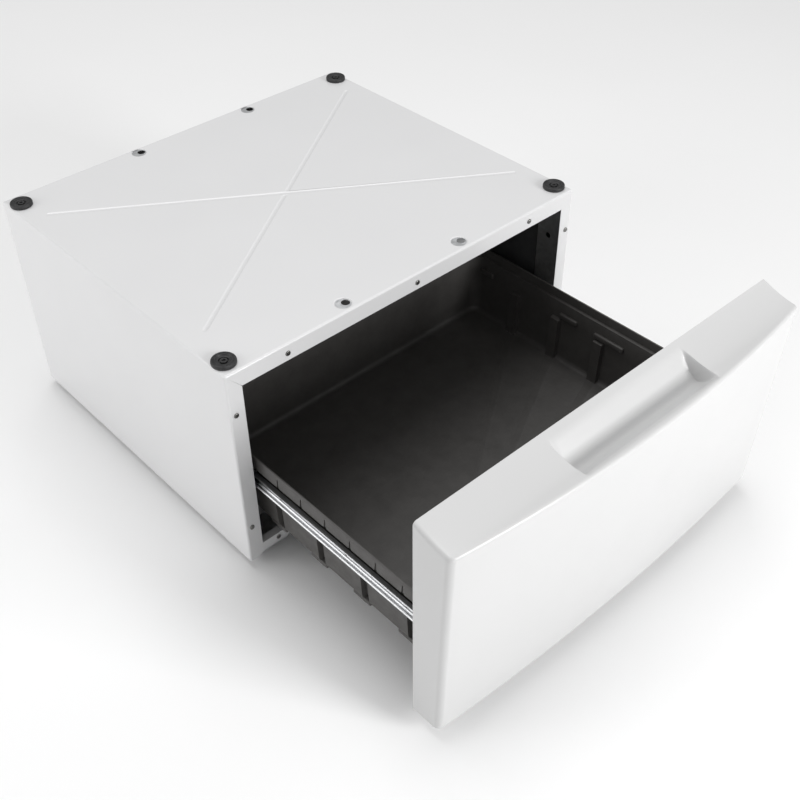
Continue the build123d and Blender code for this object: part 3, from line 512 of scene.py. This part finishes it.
# ---------------------------------------------------------------- cabinet sheet
def bend_lines(low, high, radius, low_round=True):
    """Lattice lines along one side of a box with rounded edges."""
    steps = [radius * math.tan(math.radians(a)) for a in (0, 9, 18, 27, 36, 45)]
    lows = [low + radius - s for s in reversed(steps)] if low_round else [low]
    return lows + [high - radius + s for s in steps]


def rounded(point, low, high, radius):
    """Point on a box moved to the same box with rounded edges."""
    core = Vector(min(max(p, a + radius), b - radius) for p, a, b in zip(point, low, high))
    away = point - core
    if away.length < 1e-9:
        return point
    return core + away.normalized() * radius


def stadium(start, end, half_width, height):
    """Round-ended outline about a line on the deck."""
    along = (end - start).normalized()
    heading = math.degrees(math.atan2(along.y, along.x))
    points = arc(end.x, end.y, half_width, heading - 90, heading + 90, BEAD_END_STEPS)
    points += arc(start.x, start.y, half_width, heading + 90, heading + 270, BEAD_END_STEPS)
    return [Vector((p.x, p.y, height)) for p in points]


def bead_arms():
    """Ends of the three pressed lines: one whole arm and two halves that stop short of it."""
    a, b, c, d = BEAD_BACK_LEFT, BEAD_FRONT_RIGHT, BEAD_FRONT_LEFT, BEAD_BACK_RIGHT
    bottom = (b.x - a.x) * (d.y - c.y) - (b.y - a.y) * (d.x - c.x)
    share = ((c.x - a.x) * (d.y - c.y) - (c.y - a.y) * (d.x - c.x)) / bottom
    middle = a + share * (b - a)
    along = (d - c).normalized()
    return (a, b), (c, middle - along * BEAD_GAP), (middle + along * BEAD_GAP, d)


def press_bead(mesh, start, end):
    """A pressed line of the cross. Returns the ring of vertices on the deck."""
    rows = [stadium(start, end, BEAD_WIDTH - inset * MM, DECK - share * BEAD_DEPTH)
            for inset, share in BEAD_SECTION]
    made = lattice(mesh, rows, closed=True, outward=lambda c: Vector((0, 0, 1)))
    facing(mesh.faces.new(made[-1]), Vector((0, 0, 1)))
    return made[0]


def press_hole(mesh, x, y):
    """A pierced hole with a shallow pressed rim. Returns the ring of vertices on the deck."""
    rows = []
    for radius, depth in HOLE_SECTION:
        ring = arc(x, y, radius * MM, 0, 360, HOLE_STEPS)[:-1]
        rows.append([Vector((p.x, p.y, DECK - depth * MM)) for p in ring])
    return lattice(mesh, rows, closed=True, outward=lambda c: Vector((0, 0, 1)))[0]


def fill_plane(mesh, loops, direction):
    """Flat face or faces between an outer loop of vertices and holes in it."""
    edges = []
    for loop in loops:
        for a, b in zip(loop, loop[1:] + loop[:1]):
            edges.append(mesh.edges.get((a, b)) or mesh.edges.new((a, b)))
    made = bmesh.ops.triangle_fill(mesh, use_beauty=True, use_dissolve=False, edges=edges)
    for item in made["geom"]:
        if isinstance(item, bmesh.types.BMFace):
            facing(item, direction)


def flat(mesh, points, direction):
    """One flat face through points."""
    facing(mesh.faces.new([mesh.verts.new(p) for p in points]), direction)


def bent_edges(mesh):
    """The sides, and the bends around the deck and flanges. The flats with holes or slits are left open."""
    low = Vector((-HALF_WIDTH, 0, WRAP_LOW.z - 1))
    high = Vector((HALF_WIDTH, DEPTH, DECK))
    xs = bend_lines(low.x, high.x, BEND)
    ys = bend_lines(low.y, high.y, BEND)
    zs = bend_lines(WRAP_LOW.z, high.z, BEND, low_round=False)
    middle_x = len(xs) // 2 - 1
    middle_y = len(ys) // 2 - 1

    def outward(c):
        inner = Vector((min(max(c.x, -HALF_WIDTH + BEND), HALF_WIDTH - BEND),
                        min(max(c.y, BEND), DEPTH - BEND), min(c.z, DECK - BEND)))
        return c - inner

    def patch(point, us, vs, keep):
        for i, (u0, u1) in enumerate(zip(us, us[1:])):
            for j, (v0, v1) in enumerate(zip(vs, vs[1:])):
                if keep(i, j):
                    corners = [(u0, v0), (u1, v0), (u1, v1), (u0, v1)]
                    made = [mesh.verts.new(rounded(point(*c), low, high, BEND)) for c in corners]
                    face = mesh.faces.new(made)
                    facing(face, outward(face.calc_center_median()))

    patch(lambda x, y: Vector((x, y, DECK)), xs, ys, lambda i, j: (i, j) != (middle_x, middle_y))
    for x in (-HALF_WIDTH, HALF_WIDTH):
        patch(lambda y, z: Vector((x, y, z)), ys, zs, lambda i, j: True)
    for y in (0, DEPTH):
        patch(lambda x, z: Vector((x, y, z)), xs, zs, lambda i, j: (i, j) != (middle_x, 0))


def front_flanges(mesh):
    """Flat flanges around the drawer opening, with the slit between the top one and the side ones."""
    out = Vector((0, -1, 0))
    edge = HALF_WIDTH - BEND
    top = DECK - BEND
    diagonal = Vector((edge - HALF_OPENING, top - OPENING_TOP)).normalized()
    gap = Vector((-diagonal.y, diagonal.x)) * SEAM
    flat(mesh, [Vector((-edge, 0, top)), Vector((edge, 0, top)),
                Vector((HALF_OPENING + gap.x, 0, OPENING_TOP + gap.y)),
                Vector((HALF_OPENING + gap.x, 0, OPENING_TOP)),
                Vector((-HALF_OPENING - gap.x, 0, OPENING_TOP)),
                Vector((-HALF_OPENING - gap.x, 0, OPENING_TOP + gap.y))], out)
    turn = arc(HALF_OPENING + OPENING_CORNER, WRAP_LOW.z + OPENING_CORNER, OPENING_CORNER, 180, 270, 8)
    for sign in (-1, 1):
        points = [Vector((edge, top)), Vector((HALF_OPENING - gap.x, OPENING_TOP - gap.y))]
        points += [Vector((HALF_OPENING, OPENING_TOP - 2 * SEAM))] + turn + [Vector((edge, WRAP_LOW.z))]
        flat(mesh, [Vector((sign * p.x, 0, p.y)) for p in points], out)


def back_flanges(mesh):
    """Flat flanges that the back panel is screwed to."""
    out = Vector((0, 1, 0))
    edge = HALF_WIDTH - BEND
    inner = HALF_WIDTH - BACK_FLANGE
    top = DECK - BEND
    low = DECK - BACK_FLANGE
    flat(mesh, [Vector((-edge, DEPTH, top)), Vector((edge, DEPTH, top)), Vector((edge, DEPTH, low)),
                Vector((-edge, DEPTH, low))], out)
    for sign in (-1, 1):
        flat(mesh, [Vector((sign * edge, DEPTH, low)), Vector((sign * inner, DEPTH, low)),
                    Vector((sign * inner, DEPTH, WRAP_LOW.z)), Vector((sign * edge, DEPTH, WRAP_LOW.z))], out)


def bottom_flanges(mesh):
    """Narrow flanges turned in under both sides."""
    for sign in (-1, 1):
        flat(mesh, [Vector((sign * HALF_WIDTH, BEND, WRAP_LOW.z)),
                    Vector((sign * HALF_OPENING, BEND, WRAP_LOW.z)),
                    Vector((sign * HALF_OPENING, DEPTH - BEND, WRAP_LOW.z)),
                    Vector((sign * HALF_WIDTH, DEPTH - BEND, WRAP_LOW.z))], Vector((0, 0, -1)))


def deck_plane(mesh):
    """The flat of the deck, around its cross and holes."""
    rings = [press_bead(mesh, start, end) for start, end in bead_arms()]
    for pair in (FRONT_HOLES, REAR_HOLES):
        for side in (-1, 1):
            rings.append(press_hole(mesh, pair.x + side * BOLT_SPACING / 2, pair.y))
    edge = HALF_WIDTH - BEND
    corners = [(-edge, BEND), (edge, BEND), (edge, DEPTH - BEND), (-edge, DEPTH - BEND)]
    outer = [mesh.verts.new((x, y, DECK)) for x, y in corners]
    fill_plane(mesh, [outer] + rings, Vector((0, 0, 1)))


def cabinet_sheet():
    """Deck, sides and flanges as one sheet: enamel outside, and inside a dark coat that is painted shade."""
    mesh = bmesh.new()
    bent_edges(mesh)
    front_flanges(mesh)
    back_flanges(mesh)
    bottom_flanges(mesh)
    deck_plane(mesh)
    weld(mesh)
    obj = piece("cabinet_sheet", mesh, "cabinet", "white_enamel", "cabinet_wrap",
                extra=("painted_shade_back_coat",), angle=30)
    thick = obj.modifiers.new("sheet", "SOLIDIFY")
    thick.thickness = SHEET
    thick.offset = -1
    thick.use_even_offset = True
    # the inner faces take the dark coat: painted shade for the unlit inside of the cabinet
    thick.material_offset = 1
    thick.material_offset_rim = 0
    even_shading(obj)


# ---------------------------------------------------------------- drawer front
def bow(x, end, middle):
    """Y of a shallow arc across the drawer front."""
    rise = end - middle
    radius = (HALF_WIDTH**2 + rise**2) / (2 * rise)
    return middle + radius - math.sqrt(radius**2 - x**2)


def corner_drop(distance, radius):
    """How far a round edge has fallen at a distance from the end."""
    if distance >= radius:
        return 0.0
    return radius - math.sqrt(max(radius**2 - (radius - distance) ** 2, 0.0))


def face_y(x, z):
    """Front face of the drawer front, rounded at its ends."""
    share = (z - FRONT_BOTTOM) / (FRONT_TOP - FRONT_BOTTOM)
    low = bow(x, FACE_LOW_END, FACE_LOW_MIDDLE)
    high = bow(x, FACE_HIGH_END, FACE_HIGH_MIDDLE)
    return low + (high - low) * share + corner_drop(HALF_WIDTH - abs(x), EDGE_ROUND)


def smooth_least(a, b, blend):
    """The smaller of two heights, with a soft change between them."""
    share = min(max(0.5 + 0.5 * (b - a) / blend, 0), 1)
    return b + (a - b) * share - blend * share * (1 - share)


def cove(depth, run):
    """Height of the top at a depth in front of the back edge: concave, and level before the lip."""
    left = max(1 - depth / run, 0)
    return LIP_TOP + (FRONT_TOP - LIP_TOP) * left**COVE_POWER


def pocket_height(depth):
    """Height of the finger pocket's surface before it is cut by the cove."""
    back = FRONT_TOP - (depth - POCKET_BACK) * POCKET_BACK_SLOPE
    front = POCKET_FLOOR + (depth - POCKET_FRONT) * POCKET_FRONT_SLOPE
    floor = -smooth_least(-back, -POCKET_FLOOR, POCKET_BACK_ROUND)
    return -smooth_least(-floor, -front, POCKET_FRONT_ROUND)


def top_z(x, y, face):
    """Height of the drawer front's top."""
    depth = FRONT_BACK - y
    run = min(COVE_RUN, FRONT_BACK - face - LIP_LEVEL)
    height = cove(depth, run)
    reach = POCKET_HALF - abs(x)
    if reach > -POCKET_BLEND:
        deep = smooth_least(height, pocket_height(depth), POCKET_EDGE)
        share = min(max((reach + POCKET_BLEND) / (2 * POCKET_BLEND), 0), 1)
        height += (deep - height) * share * share * (3 - 2 * share)
    height -= corner_drop(y - face, LIP_ROUND)
    height -= corner_drop(HALF_WIDTH - abs(x), TOP_ROUND)
    return height


def front_point(x, depth_share, height_share):
    """Point of the drawer front: shares go from back to face and from bottom to top."""
    z = FRONT_BOTTOM + height_share * (LIP_TOP - FRONT_BOTTOM)
    for _ in range(4):          # the face leans, so height and face are found in turn
        face = face_y(x, z)
        y = FRONT_BACK + (face - FRONT_BACK) * depth_share
        z = FRONT_BOTTOM + height_share * (top_z(x, y, face) - FRONT_BOTTOM)
    if height_share == 0:
        z += corner_drop(y - face, BOTTOM_ROUND)
    return Vector((x, y, z))


def spread(start, end, count):
    """Evenly spaced numbers, both ends included."""
    return [start + (end - start) * i / count for i in range(count + 1)]


def front_columns():
    """X of the lattice lines: close together at the ends and at the pocket's walls."""
    ends = [HALF_WIDTH - EDGE_ROUND + EDGE_ROUND * math.sin(math.radians(a)) for a in range(0, 91, 10)]
    wall = spread(POCKET_HALF - POCKET_BLEND, POCKET_HALF + POCKET_BLEND, 8)
    half = spread(0, POCKET_HALF - POCKET_BLEND, 14)[:-1] + wall
    half += spread(POCKET_HALF + POCKET_BLEND, HALF_WIDTH - EDGE_ROUND, 20)[1:-1] + ends
    return [-x for x in reversed(half[1:])] + half


def front_shell():
    """The moulded drawer front: bowed leaning face, coved top, finger pocket and rounded ends."""
    mesh = bmesh.new()
    xs = front_columns()
    lip = [1 - LIP_SHARE * (1 - math.sin(math.radians(a))) for a in range(0, 91, 15)]
    depths = [0, 0.006] + spread(0.03, 1 - LIP_SHARE, 44)[:-1] + lip
    heights = [0, 0.004] + spread(0.03, 0.97, 26) + [0.985, 1]

    def outward(c):
        inside = Vector((c.x * 0.9, FRONT_BACK - 0.03, 0.2))
        return c - inside

    def sheet(rows):
        lattice(mesh, rows, outward=outward)

    sheet([[front_point(x, d, 1) for x in xs] for d in depths])
    sheet([[front_point(x, d, 0) for x in xs] for d in depths])
    sheet([[front_point(x, 1, h) for x in xs] for h in heights])
    sheet([[front_point(x, 0, h) for x in xs] for h in heights])
    for x in (xs[0], xs[-1]):
        sheet([[front_point(x, d, h) for d in depths] for h in heights])
    weld(mesh)
    bmesh.ops.recalc_face_normals(mesh, faces=mesh.faces)
    piece("drawer_front_moulding", mesh, "drawer", "white_plastic", "drawer_front", angle=38)


# ---------------------------------------------------------------- slides
def drawer_rail_path():
    """Section of the rail that travels, bottom to top: lip, shoulder over the balls, web and upper track."""
    web = BALL_S - 4.2 * MM
    low = SLIDE_Z - BALL_RISE
    track = SLIDE_Z + BALL_RISE - RACE_MID
    lip = arc(BALL_S + 1.2 * MM, low + 1.6 * MM, 1.9 * MM, 0, 80, 6)
    hollow = arc(BALL_S - 0.6 * MM, low + 3.9 * MM, 0.7 * MM, 270, 180, 5)
    shoulder = arc(web + 0.4 * MM, low + 3.9 * MM, 2.5 * MM, 0, 80, 8)
    corner = arc(web + 1.0 * MM, track - 1.0 * MM, 1.0 * MM, 180, 90, 5)
    rim = arc(BALL_S + 2.3 * MM, track + 0.8 * MM, 0.8 * MM, 270, 360, 5)
    return lip + hollow + shoulder + [Vector((web, low + 7.2 * MM))] + corner + rim


def cabinet_rail_path():
    """Half section of the fixed rail: web, flange and the race over the balls."""
    top = SLIDE_Z + BALL_RISE + RACE_MID
    web = BALL_S + 6.3 * MM
    corner = arc(web - 1.4 * MM, top - 1.4 * MM, 1.4 * MM, 0, 90, 6)
    race = arc(BALL_S, SLIDE_Z + BALL_RISE, RACE_MID, 90, 166, 10)
    return [Vector((web, SLIDE_Z))] + corner + race


def whole_path(half):
    """Half section and its mirror image below the slide's centre line."""
    lower = [Vector((p.x, 2 * SLIDE_Z - p.y)) for p in reversed(half[1:])]
    return lower + half


def slides():
    """Both pairs of rails. Their balls, retainers and screws stay the CAD's."""
    for side, sign in SIDES.items():
        mesh = rolled_strip(drawer_rail_path(), RAIL_SHEET, sign, DRAWER_RAIL_LOW.y, DRAWER_RAIL_HIGH.y)
        piece(side + "_drawer_slide", mesh, "drawer", "bright_zinc", side + "_drawer_rail", angle=40)
        whole = whole_path(cabinet_rail_path())
        mesh = rolled_strip(whole, RAIL_SHEET, sign, CABINET_RAIL_LOW.y, CABINET_RAIL_HIGH.y)
        piece(side + "_cabinet_slide", mesh, "cabinet", "bright_zinc", side + "_cabinet_rail", angle=40)


# ---------------------------------------------------------------- deck pads
def deck_pads():
    """Turned rubber pads: outer tread with fine ridges, inner land, groove and hollow hub."""
    for corner in CORNERS:
        low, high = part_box("deck_pad_" + corner)
        radius = (high.x - low.x) / 2
        top = high.z - DECK
        ridges = []
        for r in (15.2, 14.1, 13.0):
            ridges += [(r * MM, top), (r * MM - 0.25 * MM, top - 0.35 * MM), (r * MM - 0.6 * MM, top)]
        profile = [(0, 0), (radius - 0.8 * MM, 0), (radius - 0.2 * MM, 0.4 * MM), (radius, 1.2 * MM),
                   (radius, top - 1.6 * MM), (radius - 0.4 * MM, top - 0.6 * MM), (radius - 1.2 * MM, top)]
        profile += ridges
        profile += [(11.4 * MM, top), (10.9 * MM, top - 0.4 * MM), (10.5 * MM, top - 1.5 * MM),
                    (10.1 * MM, top - 1.8 * MM), (7.8 * MM, top - 1.8 * MM), (7.4 * MM, top - 2.1 * MM),
                    (7.1 * MM, top - 3.8 * MM), (5.3 * MM, top - 3.8 * MM), (5.1 * MM, top - 1.4 * MM),
                    (4.7 * MM, top - 1.0 * MM), (3.2 * MM, top - 1.0 * MM), (2.8 * MM, top - 1.4 * MM),
                    (2.6 * MM, top - 3.6 * MM), (0, top - 3.6 * MM)]
        centre = Vector(((low.x + high.x) / 2, (low.y + high.y) / 2, DECK))
        mesh = lathe(profile, centre, PAD_SEGMENTS)
        piece("deck_tread_" + corner, mesh, "cabinet", "black_rubber", "deck_pad_" + corner, angle=40)


# ---------------------------------------------------------------- bin
def bin_outline(half, y0, y1, corner, stations):
    """Rounded rectangle, anticlockwise from the right front, with the same stations along both sides."""
    ys = [min(max(y, y0 + corner), y1 - corner) for y in stations]
    points = [Vector((half, y)) for y in ys]
    points += arc(half - corner, y1 - corner, corner, 0, 90, CORNER_STEPS)[1:]
    points += arc(-half + corner, y1 - corner, corner, 90, 180, CORNER_STEPS)
    points += [Vector((-half, y)) for y in reversed(ys)][1:]
    points += arc(-half + corner, y0 + corner, corner, 180, 270, CORNER_STEPS)[1:]
    points += arc(half - corner, y0 + corner, corner, 270, 360, CORNER_STEPS)[:-1]
    return points


def groove_share(y, z, top, half):
    """1 in an upright groove and 0 away from it, with a short slope at its edges."""
    if z > top:
        return 0.0
    steps = (y - GROOVE_FIRST) / GROOVE_PITCH
    nearest = min(max(round(steps), 0), GROOVE_COUNT - 1)
    off = abs(y - GROOVE_FIRST - nearest * GROOVE_PITCH)
    return min(max((half + GROOVE_EDGE - off) / GROOVE_EDGE, 0), 1)


def side_stations():
    """Y of the lattice lines along the sides, close together at each groove."""
    low, high = BIN_FRONT + RIM_CORNER, BIN_BACK - RIM_CORNER
    ys = [low, high] + spread(low + 4 * MM, high - 4 * MM, 18)
    for step in range(GROOVE_COUNT):
        middle = GROOVE_FIRST + step * GROOVE_PITCH
        ys.append(middle)
        for half in (GROOVE_HALF, GROOVE_HALF + GROOVE_EDGE, PILLAR_HALF, PILLAR_HALF + GROOVE_EDGE):
            ys += [middle - half, middle + half]
    return sorted({round(y, 5) for y in ys if low <= y <= high})


def bin_row(z, half, inset, corner, depth, top, reach, stations):
    """One level of a bin wall. Grooves of a depth, top and half width (reach) are pressed in on its sides."""
    points = bin_outline(half, BIN_FRONT + inset, BIN_BACK - inset, corner, stations)
    row = []
    for p in points:
        x = p.x
        if abs(abs(x) - half) < 0.01 * MM and depth:
            x -= math.copysign(depth * groove_share(p.y, z, top, reach), x)
        row.append(Vector((x, p.y, z)))
    return row


def bin_shell():
    """The tub: outer wall with grooves, the step outwards, and the inner wall down to the floor."""
    mesh = bmesh.new()
    stations = side_stations()

    def half_at(z):
        return BIN_BOTTOM_HALF + (BIN_TOP_HALF - BIN_BOTTOM_HALF) * (z - BIN_FLOOR) / (BIN_LEDGE - BIN_FLOOR)

    def inset_at(z):
        return RIM_INSET + BIN_END_LEAN * (BIN_LEDGE - z) / (BIN_LEDGE - BIN_FLOOR)

    def outer(z, inward, depth):
        return bin_row(z, half_at(z) - inward, inset_at(z) + inward, OUTER_CORNER, depth, GROOVE_TOP,
                       GROOVE_HALF, stations)

    def inner(z, inward, depth):
        return bin_row(z, half_at(z) - inward, inset_at(z) + inward, INNER_CORNER, depth, PILLAR_TOP,
                       PILLAR_HALF, stations)

    rows = []
    for angle in range(0, 91, 15):
        a = math.radians(angle)
        z = BIN_FLOOR + BIN_ROUND * (1 - math.cos(a))
        depth = GROOVE_DEPTH if z > BIN_FLOOR + GROOVE_START else 0
        rows.append(outer(z, BIN_ROUND * (1 - math.sin(a)), depth))
    for z in (GROOVE_TOP - 1 * MM, GROOVE_TOP, GROOVE_TOP + 1 * MM, SLIDE_Z, BIN_LEDGE - BIN_WALL):
        rows.append(outer(z, 0, GROOVE_DEPTH))
    buried = SKIRT / 2
    for z in (BIN_LEDGE - BIN_WALL, BIN_LEDGE):
        rows.append(bin_row(z, RIM_HALF - buried, buried, LEDGE_CORNER, 0, 0, 0, stations))
    # (height, millimetres by which the inner edge is rounded off)
    for z, eased in ((BIN_LEDGE, 1.0), (BIN_LEDGE - 0.3 * MM, 0.3), (BIN_LEDGE - 1.0 * MM, 0),
                     (PILLAR_TOP + 0.8 * MM, 0), (PILLAR_TOP - 0.4 * MM, 0), (BIN_FLOOR + 12 * MM, 0)):
        rows.append(inner(z, BIN_WALL - eased * MM, PILLAR_DEPTH))
    for angle in range(15, 91, 15):
        a = math.radians(angle)
        z = BIN_FLOOR + BIN_WALL + BIN_ROUND * (1 - math.sin(a))
        rows.append(inner(z, BIN_WALL + BIN_ROUND * (1 - math.cos(a)), PILLAR_DEPTH * math.cos(a)))
    made = lattice(mesh, rows, closed=True)
    mesh.faces.new(made[0])
    mesh.faces.new(made[-1])
    weld(mesh, 0.003 * MM)
    bmesh.ops.recalc_face_normals(mesh, faces=mesh.faces)
    return mesh


def rim_band():
    """The rim with its skirt: a standing strip all round, with tapered blind notches along both sides."""
    mesh = bmesh.new()
    places = [NOTCH_FIRST + NOTCH_PITCH * step for step in range(NOTCH_COUNT)]
    # (height, millimetres inwards, 1 where the notches are)
    section = [(SKIRT_BOTTOM, 2.7, 0), (SKIRT_BOTTOM, 0.3, 1), (SKIRT_BOTTOM + 0.3 * MM, 0, 1),
               (NOTCH_TOP, 0, 1), (NOTCH_TOP + NOTCH_WALL, 0, 0), (RIM - 1.1 * MM, 0, 0),
               (RIM - 0.35 * MM, 0.35, 0), (RIM, 1.1, 0), (RIM, 1.9, 0), (RIM - 0.35 * MM, 2.65, 0),
               (RIM - 1.1 * MM, 3.0, 0), (SKIRT_BOTTOM + 0.3 * MM, 3.0, 0), (SKIRT_BOTTOM, 2.7, 0)]
    rows = []
    for z, inward, notched in section:
        half = RIM_HALF - inward * MM
        share = min(max((z - SKIRT_BOTTOM) / (NOTCH_TOP - SKIRT_BOTTOM), 0), 1)
        wide = NOTCH_LOW_HALF - NOTCH_NARROWING * share
        stations = []
        for y in places:
            stations += [y - wide - NOTCH_WALL, y - wide, y + wide, y + wide + NOTCH_WALL]
        points = bin_outline(half, BIN_FRONT + inward * MM, BIN_BACK - inward * MM,
                             RIM_CORNER - inward * MM, stations)
        row = []
        for p in points:
            on_side = abs(abs(p.x) - half) < 0.01 * MM
            pressed = notched and on_side and min(abs(p.y - y) for y in places) < wide + NOTCH_WALL / 2
            row.append(Vector((p.x - math.copysign(NOTCH_DEPTH, p.x) if pressed else p.x, p.y, z)))
        rows.append(row)
    lattice(mesh, rows, closed=True)
    weld(mesh, 0.003 * MM)
    bmesh.ops.recalc_face_normals(mesh, faces=mesh.faces)
    return mesh


def drawer_tub():
    """The whole moulding: tub, rim, feet, rail seats, bars in the walls and screw bosses at the front."""
    mesh = bin_shell()
    extra = rim_band()
    for sign in (-1, 1):
        for step in range(GROOVE_COUNT):
            y = GROOVE_FIRST + step * GROOVE_PITCH
            side_block(extra, sign, FOOT_OUT, (y + FOOT_ALONG[0], y + FOOT_ALONG[1]), FOOT_Z, 3.2 * MM, 4)
        side_block(extra, sign, SEAT_OUT, SEAT_Y, SEAT_Z, 1.2 * MM, 2)
        for y0, y1 in BARS_Y:
            side_block(extra, sign, BAR_OUT, (y0 * MM, y1 * MM), BAR_Z, 2.6 * MM, 3)
    for x in BOSS_X:
        for z in BOSS_Z:
            soft_block(extra, Vector((x - BOSS_HALF, BOSS_Y[0], z - BOSS_HALF)) * MM,
                       Vector((x + BOSS_HALF, BOSS_Y[1], z + BOSS_HALF)) * MM, 4 * MM, 3)
    joined = bpy.data.meshes.new("extra")
    extra.to_mesh(joined)
    extra.free()
    mesh.from_mesh(joined)
    bpy.data.meshes.remove(joined)
    piece("drawer_tub", mesh, "drawer", "charcoal_plastic", "drawer_bin", angle=35)


# ---------------------------------------------------------------- studio
def studio():
    """Pale floor, even white surroundings and large soft lights."""
    mesh = bmesh.new()
    bmesh.ops.create_grid(mesh, x_segments=8, y_segments=8, size=FLOOR_HALF)
    data = bpy.data.meshes.new("floor")
    mesh.to_mesh(data)
    mesh.free()
    floor = bpy.data.objects.new("floor", data)
    bpy.context.scene.collection.objects.link(floor)
    floor.location.z = -FLOOR_DROP
    pale = Finish("studio_floor", (0.93, 0.93, 0.93), 0.7)
    pale.color(pale.noise(2, 2), (0.925, 0.925, 0.925), (0.935, 0.935, 0.935))
    data.materials.append(pale.material)

    world = bpy.data.worlds.new("studio")
    world.use_nodes = True
    background = world.node_tree.nodes["Background"]
    background.inputs["Color"].default_value = (1, 1, 1, 1)
    background.inputs["Strength"].default_value = WORLD_STRENGTH
    bpy.context.scene.world = world
    soft_light("key", (0.7, -3.0, 1.30), (0, -0.3, 0.25), 1.0, 66)
    soft_light("left", (-2.4, 1.3, 1.1), (-0.3, 0.2, 0.2), 1.5, 20)
    soft_light("top", (0.4, 1.6, 6.0), (0, 0, 0.3), 4.5, 155)


def soft_light(name, place, target, size, power):
    """Square area light aimed at a point."""
    data = bpy.data.lights.new(name, "AREA")
    data.size = size
    data.energy = power
    light = bpy.data.objects.new(name, data)
    bpy.context.scene.collection.objects.link(light)
    light.location = place
    light.rotation_euler = (Vector(target) - Vector(place)).to_track_quat("-Z", "Y").to_euler()


def camera():
    """Camera at the photographed angle."""
    azimuth, elevation, roll = (math.radians(a) for a in CAMERA_ANGLES)
    back = Vector((math.sin(azimuth) * math.cos(elevation), -math.cos(azimuth) * math.cos(elevation),
                   math.sin(elevation)))
    right = (-back).cross(Vector((0, 0, 1))).normalized()
    up = right.cross(-back)
    turned = math.cos(roll) * right + math.sin(roll) * up
    upright = -math.sin(roll) * right + math.cos(roll) * up
    data = bpy.data.cameras.new("camera")
    data.lens = CAMERA_LENS
    data.sensor_width = CAMERA_SENSOR
    view = bpy.data.objects.new("camera", data)
    bpy.context.scene.collection.objects.link(view)
    turn = Matrix((turned, upright, back)).transposed().to_4x4()
    view.matrix_world = Matrix.Translation(CAMERA_PLACE) @ turn
    bpy.context.scene.camera = view


# ---------------------------------------------------------------- build
bpy.context.scene.view_settings.view_transform = "Standard"
camera()
studio()
paint_nodes()
cabinet_sheet()
front_shell()
slides()
deck_pads()
drawer_tub()

bpy.context.view_layer.update()
